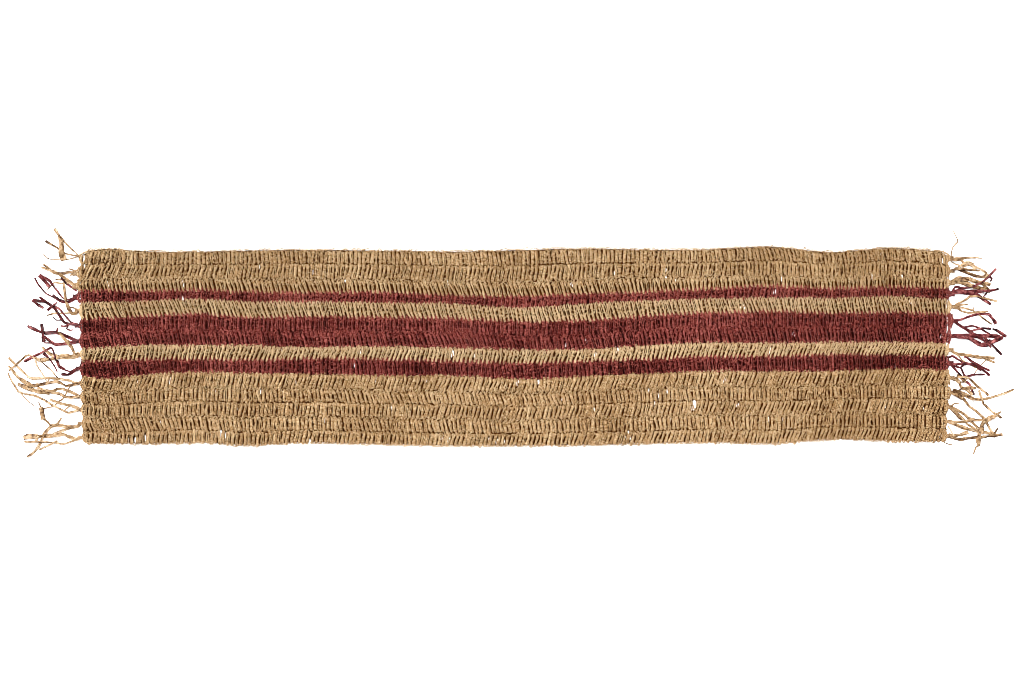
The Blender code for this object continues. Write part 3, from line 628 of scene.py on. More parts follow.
def smooth_through(stations, values, x):
    """The value at each x on the smooth line through the stations, a cubic between each two of them."""
    slopes = np.gradient(values, stations)
    x = np.clip(x, stations[0], stations[-1])
    at = np.clip(np.searchsorted(stations, x, side="right") - 1, 0, len(stations) - 2)
    span = stations[at + 1] - stations[at]
    return cubic((x - stations[at]) / span, values[at], slopes[at] * span,
                 values[at + 1], slopes[at + 1] * span)


def joint_line(number, x):
    """How far up the joint above row number + 1 lies at each x.

    The cloth's edges draw in near its corners by the square of how near the end is.
    """
    upper, lower, share = JOINTS[number]
    above = smooth_through(STATIONS[:, 0], STATIONS[:, upper], x)
    below = smooth_through(STATIONS[:, 0], STATIONS[:, lower], x)
    from_end = np.minimum(x - ROW_ENDS[0][0], ROW_ENDS[0][1] - x)
    corner = np.clip(1.0 - from_end / CORNER_REACH, 0.0, 1.0) ** 2
    return above + share * (below - above) + CORNER_DRAWN.get(number, 0.0) * corner


def course(*spots):
    """Joins places given as (x, y, z), each an array over the strips, into courses (strips, stations, 3)."""
    stations = [np.stack(np.broadcast_arrays(*spot), axis=-1) for spot in spots]
    return np.stack(np.broadcast_arrays(*stations), axis=1).astype(float)


def drawn_smooth(rough, stations, ease=1.0):
    """A smooth course with more stations through the places of a rough one.

    Between two places it is the cubic whose slope at each place is half the step from the place before to the
    place after, times ease: the less ease, the sharper its bends.
    """
    known = rough.shape[1]
    number = np.linspace(0.0, known - 1.0, stations)
    at = np.minimum(number.astype(int), known - 2)
    slopes = np.gradient(rough, axis=1) * ease
    return cubic((number - at)[None, :, None], rough[:, at], slopes[:, at],
                 rough[:, at + 1], slopes[:, at + 1])


def gap_table():
    """All gaps as rows of x, y, width, height and how far they lean to the left for each millimetre up."""
    gaps = np.array([*GAPS, *[(*spot, *PINHOLE) for spot in PINHOLES]], dtype=float)
    joints = np.array([joint_line(number, gaps[:, 0]) for number in range(1, ROWS)])
    row = 1 + (joints > gaps[:, 1]).sum(axis=0)
    lean = [np.interp(x, LEAN_AT, LEANS[number]) for x, number in zip(gaps[:, 0], row)]
    return np.column_stack((gaps, np.tan(np.radians(lean))))


def apart_at_gaps(strips):
    """Moves strips aside where they would cover a gap, by most next to it and less further off.

    A strip goes to the side of the gap on which most of it lies, weighed by how near each place is. There it
    comes to lie room + (1 - GAP_PACKED) * its distance from the gap's middle, and beyond the room the move
    fades by the exponent of the distance over GAP_FADE.
    """
    gaps = gap_table()
    above = strips[..., 1, None] - gaps[:, 1]
    away = strips[..., 0, None] - gaps[:, 0] + gaps[:, 4] * above
    weight = np.exp(-(above / GAP_FADE) ** 2) + 1e-12
    balance = (away * weight).sum(axis=1, keepdims=True)
    side = np.where(balance < 0, -1.0, 1.0)
    beside = np.clip(1.0 - (np.abs(above) - gaps[:, 3] * 0.5) / GAP_RETURN, 0.0, 1.0)
    room = gaps[:, 2] * GAP_SHARE + GAP_MORE
    push = np.where(away * side < room, 1.0, np.exp(-(away * side - room) / GAP_FADE)) * beside
    aside = side * np.clip(room - np.clip(away * side, -room, room) * GAP_PACKED, 0.0, None) * push
    aside = np.where(np.abs(away) < GAP_REACH, aside, 0.0)
    moved = strips.copy()
    moved[..., 0] += aside.sum(axis=-1)
    return moved


def unit(vectors):
    """The same directions, each with a length of 1."""
    return vectors / np.maximum(np.linalg.norm(vectors, axis=-1, keepdims=True), 1e-9)


def round_section(corners):
    """The section of a strip rolled round, as its corners' places across and up in halves of its size."""
    angle = 2 * np.pi * np.arange(corners) / corners
    return np.column_stack((np.cos(angle), np.sin(angle)))[None]


def folded_sections(count, chance):
    """Sections of strips folded lengthwise: two ridges with a valley between them on the upper side."""
    fold = chance.uniform(-0.25, 0.25, count)
    right, left = chance.uniform(0.65, 1.1, (2, count))
    valley = chance.uniform(0.05, 0.5, count)
    one, none = np.ones(count), np.zeros(count)
    across = np.column_stack((one, 0.55 + fold, fold, fold - 0.6, -one, none))
    up = np.column_stack((none, right, valley, left, none, -one))
    return np.stack((across, up), axis=2)


class Strips:
    """A group of strips of the same number of stations: their courses, sizes and tones."""

    def __init__(self, lie, width, thick, tone, section=None, side=None, twist=0.0):
        shape = lie.shape[:2]
        self.lie, self.side = lie, side
        self.width = np.broadcast_to(width, shape)
        self.thick = np.broadcast_to(thick, shape)
        self.tone = np.broadcast_to(tone, shape[:1])
        self.twist = np.broadcast_to(twist, shape)
        self.section = round_section(5) if section is None else section

    def surface(self):
        """Points (strips, stations, corners, 3) of the closed strips.

        A corner of the section is the middle + side * width / 2 * its place across + up * thick / 2 * its
        place up. The side is level and square to the way that the strip runs, up is square to both, and twist
        turns the two round the strip's line.
        """
        ahead = unit(np.gradient(self.lie, axis=1))
        level = np.stack((-ahead[..., 1], ahead[..., 0], np.zeros(ahead.shape[:2])), axis=2)
        side = unit(level if self.side is None else np.broadcast_to(self.side, ahead.shape))
        up = np.cross(ahead, side)
        turn = self.twist[..., None]
        side, up = side * np.cos(turn) + up * np.sin(turn), up * np.cos(turn) - side * np.sin(turn)
        across = (self.width[..., None] / 2 * self.section[:, None, :, 0])[..., None] * side[:, :, None]
        upright = (self.thick[..., None] / 2 * self.section[:, None, :, 1])[..., None] * up[:, :, None]
        return self.lie[:, :, None] + across + upright

    def runs(self):
        """How far along its strip each station lies."""
        steps = np.linalg.norm(np.diff(self.lie, axis=1), axis=2)
        return np.concatenate((np.zeros((len(steps), 1)), np.cumsum(steps, axis=1)), axis=1)

    def map_places(self, corners, grain):
        """Places on the map for the corners of all walls, then for those of the closed ends.

        Across the strip the map runs round its girth, and along it with its length times grain, both in
        millimetres, from a start of its own so that no two strips have the same fibres.
        """
        count, stations = self.lie.shape[:2]
        number = np.arange(count)[:, None]
        girth = (self.width + self.thick).mean(axis=1) * np.pi / 2 / corners
        around = np.arange(corners) * girth[:, None] + MAP_STEPS[0] * (number % MAP_STARTS[0])
        run = self.runs() * grain + MAP_STEPS[1] * (number % MAP_STARTS[1])
        u = np.stack((around, around + girth[:, None], around + girth[:, None], around), axis=2)[:, None]
        v = np.stack((run[:, :-1], run[:, :-1], run[:, 1:], run[:, 1:]), axis=2)[:, :, None]
        walls = [np.broadcast_to(places, (count, stations - 1, corners, 4)) for places in (u, v)]
        ends = (np.concatenate((around[:, ::-1], around)),
                np.concatenate((run[:, :1], run[:, -1:])).repeat(corners, axis=1))
        return [np.stack(places, axis=-1).reshape(-1, 2) for places in (walls, ends)]


def new_piece(name, groups, material, replaced, painted_shade_by_height=0.0, grain=1.0):
    """One mesh of all the strips in the groups: walls between neighbouring sections, and both ends closed.

    A point's tone is its strip's, plus the given share for each millimetre that it lies above the painted
    shade level: painted light and shade, paler where a strip lies high and darker where it lies deep.
    """
    spots, faces, places, tones, first = [], [], [], [], 0
    for group in groups:
        points = group.surface()
        count, stations, corners = points.shape[:3]
        number = first + np.arange(points[..., 0].size).reshape(count, stations, corners)
        after = np.roll(number, -1, axis=2)
        walls = np.stack((number[:, :-1], after[:, :-1], after[:, 1:], number[:, 1:]), axis=3)
        faces += [walls.reshape(-1, 4), np.concatenate((number[:, 0, ::-1], number[:, -1]))]
        places += group.map_places(corners, grain)
        spots.append(points.reshape(-1, 3))
        tones.append(np.repeat(group.tone, stations * corners)
                     + painted_shade_by_height * (points[..., 2].ravel() - PAINTED_SHADE_LEVEL))
        first += points[..., 0].size
    mesh = bpy.data.meshes.new(name)
    mesh.vertices.add(first)
    mesh.vertices.foreach_set("co", ((np.concatenate(spots) + TO_FRAME) * MM).ravel())
    totals = np.concatenate([np.full(len(block), block.shape[1]) for block in faces])
    mesh.loops.add(int(totals.sum()))
    mesh.loops.foreach_set("vertex_index", np.concatenate([block.ravel() for block in faces]))
    mesh.polygons.add(len(totals))
    mesh.polygons.foreach_set("loop_start", np.concatenate(([0], np.cumsum(totals)[:-1])))
    mesh.update(calc_edges=True)
    mesh.uv_layers.new(name="along_strip").data.foreach_set("uv", np.concatenate(places).ravel())
    mesh.attributes.new("tone", "FLOAT", "POINT").data.foreach_set("value", np.concatenate(tones))
    mesh.materials.append(material)
    mesh.shade_smooth()
    mesh.set_sharp_from_angle(angle=math.radians(50))
    return as_piece(name, mesh, replaced)


class Row:
    """One crocheted row: where its stitches stand, how far they lean, and where they begin and end."""

    def __init__(self, number):
        self.number = number
        self.chance = np.random.default_rng(SEED + number)
        self.top_way, self.foot_way = ROW_WAYS[number]
        self.ends = self.stretched_ends()
        left, right = self.ends
        # The count of stitches up to each place is the sum of 1 / pitch up to there.
        place = np.linspace(left + ROW_INSET, right - ROW_INSET, 600)
        counted = np.cumsum(1.0 / np.interp(place, PITCH_AT, PITCHES)) * (place[1] - place[0])
        self.count = int(counted[-1])
        # Stitches stand between those of the row above.
        shift = 0.25 if number % 2 else 0.75
        self.x = np.interp((np.arange(self.count) + shift) * counted[-1] / self.count, counted, place)
        self.pitch = np.interp(self.x, PITCH_AT, PITCHES)
        self.x += self.wander(STITCH_WANDER) * self.pitch
        lean = np.interp(self.x, LEAN_AT, LEANS[number])
        lean = lean + LEAN_DRIFT * self.waves(LEAN_WAVES) + self.wander(LEAN_WANDER)
        from_end = np.minimum(self.x - left, right - self.x)
        self.lean = np.tan(np.radians(lean)) * np.interp(from_end, UPRIGHT_NEAR, (0.0, 1.0))
        # Tones drift slowly along the row, as one strip after another is worked in, and are painted darker
        # near both ends: painted shade where the light falls off.
        self.tone = (USUAL_TONE + TONE_DRIFT * self.waves(TONE_WAVES) + PALER.get(number, 0.0)
                     - np.interp(self.x, FALLOFF_SHADE_AT, FALLOFF_SHADE))
        self.fullness = FULLNESS.get(number, 1.0) * self.pitch / PITCHES[1]

    def stretched_ends(self):
        """Where the row's stitches end on the left and on the right."""
        left, right = ROW_ENDS[self.number - 1]
        return left - STANDS_OUT.get((self.number, 0), 0.0), right + STANDS_OUT.get((self.number, 1), 0.0)

    def wander(self, spread):
        """One small chance offset for each stitch, never over two and a half times its usual size."""
        return np.clip(self.chance.normal(0.0, spread, self.count), -2.5 * spread, 2.5 * spread)

    def waves(self, lengths):
        """The sum of sin(x / length + a chance phase) over the lengths, at each stitch."""
        return sum(np.sin(self.x / length + self.chance.uniform(0, PHASES)) for length in lengths)

    def tones(self, lift, spread=0.07):
        """One tone for each stitch: its place's own plus the lift and a chance offset."""
        return np.clip(self.tone + lift + self.wander(spread), 0.02, 0.98)

    def widths(self, usual, spread, along):
        """The widths of each strip along it: the usual one * e ^ chance offset * the shares along it."""
        return (usual * np.exp(self.wander(spread)))[:, None] * np.array(along)

    def line(self, which, x):
        """How far up the row's upper (0) or lower (1) joint lies."""
        return joint_line(self.number - 1 + which, x)

    def between(self, share, x):
        """How far up the place lies that is this share of the way from the upper joint to the lower one."""
        return self.line(0, x) + share * (self.line(1, x) - self.line(0, x))

    def leg(self, x, lean, ends, levels, crown, bow, sway, shares):
        """Legs from the upper joint to the lower one.

        A share t of the way down, a leg lies lean * (t - 1/2) * its height to the right of x, plus bow *
        sin(pi * t) + sway * sin(2 * pi * t), and its level rises from its ends to the crown as
        1 - (2 t - 1)^4. ends are how far its top and foot lie above the joints, and levels are theirs.
        """
        t = np.array(shares)[None, :]
        zero = np.zeros(self.count)
        x, lean, top, foot, crown, bow, sway = (
            (zero + part)[:, None] for part in (x, lean, *ends, crown, bow, sway))
        height = self.line(0, x[:, 0])[:, None] - self.line(1, x[:, 0])[:, None]
        px = x + lean * (t - 0.5) * height + bow * np.sin(np.pi * t) + sway * np.sin(2.0 * np.pi * t)
        start = self.line(0, px[:, 0])[:, None] + top
        end = self.line(1, px[:, -1])[:, None] + foot
        py = start + t * (end - start)
        straight = levels[0] + (levels[1] - levels[0]) * t
        pz = straight + (crown - straight) * (1.0 - (2.0 * t - 1.0) ** 4)
        return np.stack((px, py, pz), axis=2)

    def crumpled(self, lie, width, thick, tone, folded=False):
        """Strips along the courses, each a little uneven in its place, width and level at every station."""
        count, stations = lie.shape[:2]
        lie = apart_at_gaps(lie)
        lie = lie + self.chance.normal(0.0, 1.0, lie.shape).clip(-2, 2) * np.array(CRUMPLED)
        lie[..., 2] = np.maximum(lie[..., 2], thick / 2 + FLOOR_ROOM)
        uneven = np.exp(self.chance.normal(0.0, UNEVEN, (count, stations)).clip(-2 * UNEVEN, 2 * UNEVEN))
        section = folded_sections(count, self.chance) if folded else round_section(4)
        return Strips(lie, width * uneven, thick, tone, section)

    def front_legs(self):
        """The wide legs, one for each stitch, folded lengthwise. Returns their courses and the strips."""
        top, top_level = TOPS[self.top_way]
        foot, foot_level = FEET[self.foot_way]
        reach = 1.2 if self.foot_way == "teeth" else 0.9
        lie = self.leg(self.x, self.lean, (top + self.wander(0.8), foot + self.wander(reach)),
                       (top_level, foot_level), FRONT_LEVEL + self.wander(0.2), self.wander(0.35),
                       0.5 + self.wander(0.4), (0.0, 0.13, 0.31, 0.5, 0.69, 0.87, 1.0))
        # Shares of the usual width down the leg. Rows with open slots have a narrow waist.
        upper = (0.5, 0.8, 1.0) if self.top_way == "peaks" else (0.75, 1.25, 1.05)
        waist = 0.85 if self.number in RED_ROWS or self.foot_way == "teeth" else 0.97
        lower = (1.0, 1.18, 0.9) if self.foot_way == "teeth" else (1.02, 1.28, 0.8)
        width = self.widths(FRONT_WIDTH * self.fullness, 0.1, (*upper, waist, *lower))
        thick = FRONT_THICK * np.array([0.6, 0.95, 1.0, 1.0, 1.0, 0.95, 0.55])
        return lie, self.crumpled(lie, width, thick, self.tones(0.05), folded=True)

    def second_legs(self):
        """Narrower legs a little lower, each to the right of a front leg, which some of them meet."""
        top, top_level = TOPS[self.top_way]
        foot, foot_level = FEET[self.foot_way]
        has_teeth = self.foot_way == "teeth"
        lie = self.leg(self.x + self.pitch * (SECOND_BESIDE + self.wander(0.035)),
                       self.lean - (0.1 if has_teeth else 0.0) + self.wander(0.025),
                       (top - 0.8 + self.wander(1.0), foot + 0.9 + self.wander(1.1)),
                       (top_level, foot_level - 0.4), SECOND_LEVEL + self.wander(0.3), self.wander(0.35),
                       0.4 + self.wander(0.4), (0.0, 0.17, 0.39, 0.61, 0.83, 1.0))
        along = (0.75, 1.0, 0.7, 0.7, 0.9, 0.6) if has_teeth else (0.8, 1.2, 0.85, 0.9, 1.2, 0.7)
        width = self.widths(SECOND_WIDTH * self.fullness, 0.13, along)
        thick = SECOND_THICK * np.array([0.6, 1.0, 1.0, 1.0, 0.95, 0.6])
        return self.crumpled(lie, width, thick, self.tones(-0.02))

    def loops(self, ends, ways, lower, uneven=1.1):
        """Short loops that join neighbouring stitches, next to the given ends of the front legs.

        The crown of each lies this much lower than that of the one before it.
        """
        groups = []
        for number, way in enumerate(ways):
            spots = []
            for (across, up), level in zip(way, (LOOP_ENDS, LOOP_LEVEL - lower * number, LOOP_ENDS)):
                x = ends[:, 0] + across * self.pitch + self.wander(0.7)
                y = ends[:, 1] + up + self.wander(uneven)
                spots.append((x, y, level + self.wander(0.25)))
            width = self.widths(LOOP_WIDTH, 0.18, (0.7, 0.9, 1.15, 0.9, 0.7))
            groups.append(self.crumpled(drawn_smooth(course(*spots), 5), width, LOOP_THICK, self.tones(0.04)))
        return groups

    def bits(self):
        """Short ends and stray turns of raffia that lie slantwise over the legs here and there."""
        groups = []
        for middle in BITS_AT[self.top_way]:
            share = middle + self.chance.uniform(-0.12, 0.12, self.count)
            x = self.x + self.chance.uniform(-0.5, 0.5, self.count) * self.pitch
            y = self.between(share, x)
            slant = self.chance.uniform(*BIT_SLANTS, self.count) * self.chance.choice([-1.0, 1.0], self.count)
            half = self.chance.uniform(*BIT_HALVES, self.count)
            spots = []
            for way, level in ((-1.0, BIT_ENDS), (0.0, BIT_LEVEL), (1.0, BIT_ENDS)):
                spots.append((x + way * half * np.sin(slant) + self.wander(0.4),
                              y + way * half * np.cos(slant), level + self.wander(0.3)))
            width = self.widths(BIT_WIDTH, 0.25, (0.7, 1.1, 0.7))
            groups.append(self.crumpled(course(*spots), width, BIT_THICK, self.tones(0.03, 0.14)))
        return groups

    def bridges(self):
        """Short turns of raffia from one stitch to the next, which part the slot between them in two."""
        groups = []
        for middle in BRIDGES_AT.get(self.number, ()):
            share = middle + self.wander(0.06)
            x = self.x + (SLOT_BESIDE + self.wander(0.06)) * self.pitch
            y = self.between(share, x)
            rise = 0.8 + self.wander(1.1)
            spots = []
            for way, level in ((-1.0, BRIDGE_ENDS), (0.0, BRIDGE_LEVEL), (1.0, BRIDGE_ENDS)):
                across = way * self.pitch * BRIDGE_HALF - self.lean * way * rise
                spots.append((x + across, y + way * rise, level + self.wander(0.4)))
            width = self.widths(BIT_WIDTH, 0.2, (0.8, 1.0, 0.8))
            groups.append(self.crumpled(course(*spots), width, BIT_THICK, self.tones(0.0, 0.12)))
        return groups

    def under_legs(self):
        """The legs as the underside shows them, side by side and close to the floor."""
        groups = []
        ends = (-3.0 if self.top_way == "edge" else -0.4, 3.0 if self.foot_way == "edge" else 0.4)
        for shift in (0.0, 0.5):
            lie = self.leg(self.x + self.pitch * shift, -self.lean * 0.7 + self.wander(0.05), ends,
                           (UNDER_LEVEL, UNDER_LEVEL), UNDER_LEVEL, 0.0, 0.0, (0.0, 1.0))
            groups.append(Strips(apart_at_gaps(lie), UNDER_WIDTH, UNDER_THICK, self.tones(0.0),
                                 round_section(3)))
        return groups

    def end_strips(self):
        """The turns at both ends of the row, where the raffia goes back: a bow outwards and strips across."""
        groups = []
        for side, outward in ((0, -1.0), (1, 1.0)):
            end = self.ends[side]
            # Each of the four numbers below is for one strip: the bow first, then those across.
            inset = np.array([3.5, 5.0, 6.5, 8.0])
            high, low = self.line(0, end - outward * inset), self.line(1, end - outward * inset)
            middle = (high + low) / 2
            wobble = self.chance.normal(0.0, 0.9, (3, 4))
            start = (end - outward * inset,
                     np.array([high[0] - 1, high[1] - 4, middle[2], low[3] + 2]) + wobble[0],
                     np.array([2.9, 3.4, 3.2, 3.4]))
            turn = (end - outward * np.array([-0.9, 2.6, 0.4, 2.2]) + wobble[1] * 0.4,
                    middle + np.array([1.0, 3.5, -2.0, -4.0]) + wobble[1],
                    np.array([3.6, 4.7, 4.0, 4.6]))
            stop = (end - outward * np.array([3.5, 0.6, 5.0, 0.4]),
                    np.array([low[0] + 1, middle[1] - 3, low[2] + 1, middle[3] + 3]) + wobble[2],
                    np.array([2.9, 3.0, 2.9, 3.0]))
            lie = drawn_smooth(course(start, turn, stop), 7)
            tone = np.clip(self.tone[[0, -1][side]] + self.chance.normal(0.0, 0.1, 4), 0.0, 1.0)
            widths = np.array([3.0, 2.8, 3.2, 2.6])[:, None]
            groups.append(Strips(apart_at_gaps(lie), widths, END_THICK, tone))
            if self.number == 1:
                groups.append(self.corner_strip(end, outward, tone[:1]))
        return groups

    def corner_strip(self, end, outward, tone):
        """The strip that runs from the cloth's upper edge round its corner."""
        x = end - outward * np.array([28.0, 14.0, 3.5, -2.5, -1.0])
        y = self.line(0, x) + np.array([-1.5, -0.5, 1.5, -0.5, -10.0])
        rough = np.column_stack((x, y, [2.9, 4.2, 4.4, 4.0, 3.0]))
        return Strips(apart_at_gaps(drawn_smooth(rough[None], 13)), 3.2, END_THICK, tone)

    def strips(self):
        """All the strips of the row, as groups."""
        lie, front = self.front_legs()
        second = self.second_legs()
        at_tops = self.loops(lie[:, 0], LOOPS[self.top_way], 0.8 if self.top_way == "edge" else 0.7)
        at_feet = self.loops(lie[:, -1], FOOT_LOOPS[self.foot_way], 0.8, 0.5 if self.number == ROWS else 1.1)
        return [front, second, *at_tops, *at_feet, *self.bits(), *self.bridges(), *self.under_legs(),
                *self.end_strips()]


def make_ground(materials):
    """The inner layer as one thin closed sheet under the rows, with the gaps cut through it. It stands for
    the crossings inside the rows, and its dark colour is painted shade between the stitches.
    """
    x = np.linspace(ROW_ENDS[0][0] + GROUND_INSET, ROW_ENDS[0][1] - GROUND_INSET, GROUND_COLUMNS)
    inset = {0: -EDGE_INSET, ROWS: EDGE_INSET}
    y = np.array([joint_line(number, x) + inset.get(number, 0.0) for number in range(ROWS + 1)])
    # On the left the layer reaches as far as the row ends that stand out there.
    out = np.array([STANDS_OUT.get((number, 0), 0.0) for number in range(ROWS + 2)])
    out = np.minimum(out[:-1], out[1:])[:, None] * np.clip(1.0 - (x - x[0]) / GROUND_BLEND, 0.0, 1.0)
    flat = np.stack((x - out, y), axis=2)
    spots = np.concatenate([np.dstack((flat, np.full(y.shape, z))).reshape(-1, 3)
                            for z in (GROUND_HIGH, GROUND_LOW)])
    upper = np.arange(y.size).reshape(y.shape)
    lower = upper + y.size
    top = np.stack((upper[:-1, :-1], upper[1:, :-1], upper[1:, 1:], upper[:-1, 1:]), axis=2)
    foot = np.stack((lower[:-1, :-1], lower[:-1, 1:], lower[1:, 1:], lower[1:, :-1]), axis=2)
    rim = np.concatenate((upper[:-1, 0], upper[-1, :-1], upper[:0:-1, -1], upper[0, :0:-1]))
    after = np.roll(rim, -1)
    wall = np.stack((rim, rim + y.size, after + y.size, after), axis=1)
    faces = np.concatenate((top.reshape(-1, 4), foot.reshape(-1, 4), wall))
    mesh = bpy.data.meshes.new("ground")
    mesh.from_pydata(((spots + TO_FRAME) * MM).tolist(), [], faces.tolist())
    for material in materials:
        mesh.materials.append(material)
    red = np.isin(np.arange(1, ROWS + 1), RED_ROWS).astype(np.int32)
    of_row = np.repeat(red, len(x) - 1)
    of_face = np.concatenate((of_row, of_row, np.zeros(len(wall), np.int32)))
    mesh.polygons.foreach_set("material_index", of_face)
    ground = as_piece("ground", mesh, "cloth")
    cut_gaps(ground)
    return ground


def cut_gaps(ground):
    """Cuts a lozenge with blunt sides for each gap and pinhole through the sheet, leaning as the gap does."""
    gaps = gap_table()
    corners = len(CUT_CORNERS)
    flat = gaps[:, None, :2] + np.array(CUT_CORNERS) * (gaps[:, None, 2:4] + CUT_MARGIN)
    flat[..., 0] -= gaps[:, 4, None] * (flat[..., 1] - gaps[:, 1, None])
    spots = np.concatenate([np.dstack((flat, np.full(flat.shape[:2], z))) for z in CUTTER_LEVELS], axis=1)
    walls, lids = [], []
    for first in range(0, 2 * corners * len(gaps), 2 * corners):
        around = first + np.arange(corners)
        after = first + (np.arange(corners) + 1) % corners
        walls += np.stack((around, after, after + corners, around + corners), axis=1).tolist()
        lids += [around[::-1].tolist(), (around + corners).tolist()]
    mesh = bpy.data.meshes.new("gap_cutter")
    mesh.from_pydata(((spots.reshape(-1, 3) + TO_FRAME) * MM).tolist(), [], walls + lids)
    cutter = placed("gap_cutter", mesh)
    cut = ground.modifiers.new("gaps", "BOOLEAN")
    cut.operation = "DIFFERENCE"
    cut.solver = "EXACT"
    cut.object = cutter
    seen = ground.evaluated_get(bpy.context.evaluated_depsgraph_get())
    finished = bpy.data.meshes.new_from_object(seen)
    ground.modifiers.clear()
    ground.data = finished
    bpy.data.objects.remove(cutter)


class LooseStrip:
    """One loose strip on the floor: its way from its start to its tip, read at even steps, and its widths."""

    def __init__(self, row, side, shape, chance):
        first, last, *places = shape
        edge, middle, outward = knot_place(row, side)
        rise, size = KNOTS.get((row, side), (0.0, 1.0))
        spots = np.array(places, dtype=float)
        from_knot = places[0] == (0, 0)
        if from_knot:
            spots[0] = (2.0, rise + size * chance.uniform(-KNOT_SPREAD, KNOT_SPREAD))
        spots = np.column_stack((edge + outward * spots[:, 0], middle + spots[:, 1]))
        self.spots = drawn_smooth(spots[None], LOOSE_STATIONS, LOOSE_EASE)[0]
        self.run = np.concatenate(([0.0], np.cumsum(np.hypot(*np.diff(self.spots, axis=0).T))))
        share = self.run / self.run[-1]
        ripple = 1.0 + RIPPLE * np.sin(self.run / RIPPLE_WAVE + chance.uniform(0.0, PHASES))
        tip = np.where(share > TIP_FROM, TIP_SHARE, 1.0)
        self.widths = FULLER * (first + (last - first) * share) * ripple * tip
        self.lift = np.zeros(LOOSE_STATIONS)
        # Out of its knot the strip comes down from the middle of the cloth's height.
        if from_knot:
            self.lift = KNOT_LIFT * np.clip(1.0 - self.run / KNOT_FALL, 0.0, 1.0) ** 2

    def discs(self):
        """What the strip takes up, as rows of x, y, radius and upper height."""
        return np.column_stack((self.spots, self.widths * TAKEN_UP, self.lift + STRIP_THICK))

    def climb_over(self, laid):
        """Raises the strip where it crosses what was laid before, no steeper than CLIMB."""
        away = np.hypot(self.spots[:, 0, None] - laid[:, 0], self.spots[:, 1, None] - laid[:, 1])
        near = away < self.widths[:, None] * TAKEN_UP + laid[:, 2]
        need = np.where(near, laid[:, 3] + CROSSING, 0.0).max(axis=1)
        apart = np.abs(self.run[:, None] - self.run[None, :])
        self.lift = np.maximum(self.lift, (need[None, :] - CLIMB * apart).max(axis=1)).clip(0.0, MOST_LIFT)


def knot_place(row, side):
    """The end of a row: how far along the cloth it lies, how far up, and which way is outward."""
    outward = (-1.0, 1.0)[side]
    edge = ROW_ENDS[row - 1][side] + outward * ROW_BULGE
    lines = [joint_line(number, np.array([edge]))[0] - CORNER_DRAWN.get(number, 0.0)
             for number in (row - 1, row)]
    return edge, sum(lines) / 2, outward


def spread_tones(tone, spread, count, chance):
    """Tones for this many strips: the given one plus a chance offset of this usual size."""
    return np.clip(tone + chance.normal(0.0, spread, count), 0.02, 0.98)


def flat_strips(loose, chance, tone):
    """The loose strips of one row's end, folded lengthwise and turned a little round their own lines."""
    count = len(loose)
    lie = np.stack([strip.spots for strip in loose])
    run = np.stack([strip.run for strip in loose])
    width = np.stack([strip.widths for strip in loose])
    phases = chance.uniform(0.0, PHASES, (2, count, 1))
    turn = sum(most * np.sin(run / length + phase) for (most, length), phase in zip(LOOSE_TURNS, phases))
    half = width / 2 * np.abs(np.sin(turn)) + STRIP_THICK / 2
    level = np.stack([strip.lift for strip in loose]) + half + 0.1
    tones = spread_tones(tone, 0.11, count, chance)
    section = folded_sections(count, chance)
    return Strips(np.dstack((lie, level)), width, STRIP_THICK, tones, section, twist=turn)


def loose_fibres(loose, chance, tone):
    """A fibre beside each loose strip, which leaves it by the square of the share of the way to its tip."""
    count = len(loose)
    lie = np.stack([strip.spots for strip in loose])[:, ::2]
    ahead = unit(np.gradient(lie, axis=1))
    square = np.stack((-ahead[..., 1], ahead[..., 0]), axis=2)
    share = np.linspace(0.0, 1.0, lie.shape[1])[None, :, None]
    start = chance.uniform(-FIBRE_BESIDE, FIBRE_BESIDE, (count, 1, 1))
    splay = chance.normal(0.0, SPLAY, (count, 1, 1)).clip(-2 * SPLAY, 2 * SPLAY)
    lie = lie + square * (start + splay * share ** 2)
    share = share[..., 0]
    level = np.stack([strip.lift for strip in loose])[:, ::2] + FIBRE_LEVEL + FIBRE_RISE * share
    width = FIBRE_WIDTHS[0] + (FIBRE_WIDTHS[1] - FIBRE_WIDTHS[0]) * share
    tones = spread_tones(tone + 0.05, 0.12, count, chance)
    return Strips(np.dstack((lie, level)), width, FIBRE_THICK, tones, round_section(4))


def knot_strips(row, side, chance, tone):
    """The row's end drawn together: strips from under the cloth's edge, and the turns that hold them."""
    edge, middle, outward = knot_place(row, side)
    rise, size = KNOTS.get((row, side), (0.0, 1.0))
    middle = middle + rise
    edge = edge + outward * STANDS_OUT.get((row, side), 0.0)
    spread = (np.linspace(-1.0, 1.0, KNOT_STRIPS) + chance.normal(0.0, 0.12, KNOT_STRIPS)) * size
    rough = course(*[(edge + outward * out, middle + apart * spread, level)
                     for out, apart, level in KNOT_WAY])
    tones = np.clip(tone + chance.normal(0.0, 0.12, KNOT_STRIPS), 0.0, 1.0)
    drawn = Strips(drawn_smooth(rough, 9), KNOT_WIDTH * size, KNOT_THICK, tones)
    # Each turn is half a ring over the strips, and the two cross each other.
    turn = np.linspace(0.0, np.pi, 9)[None, :]
    place = edge + outward * np.array(KNOT_TURNS)[:, None]
    slant = outward * TURN_SLANT * np.cos(turn) * np.array([1.0, -1.0])[:, None]
    around = (place + slant, middle + TURN_HALF * size * np.cos(turn), TURN_LEVEL + TURN_RISE * np.sin(turn))
    wraps = np.stack(np.broadcast_arrays(*around), axis=2)
    bound = Strips(wraps, KNOT_WIDTH, TURN_THICK, tone + np.array([0.05, -0.05]),
                   side=np.array([1.0, 0.0, 0.0]))
    return [drawn, bound]


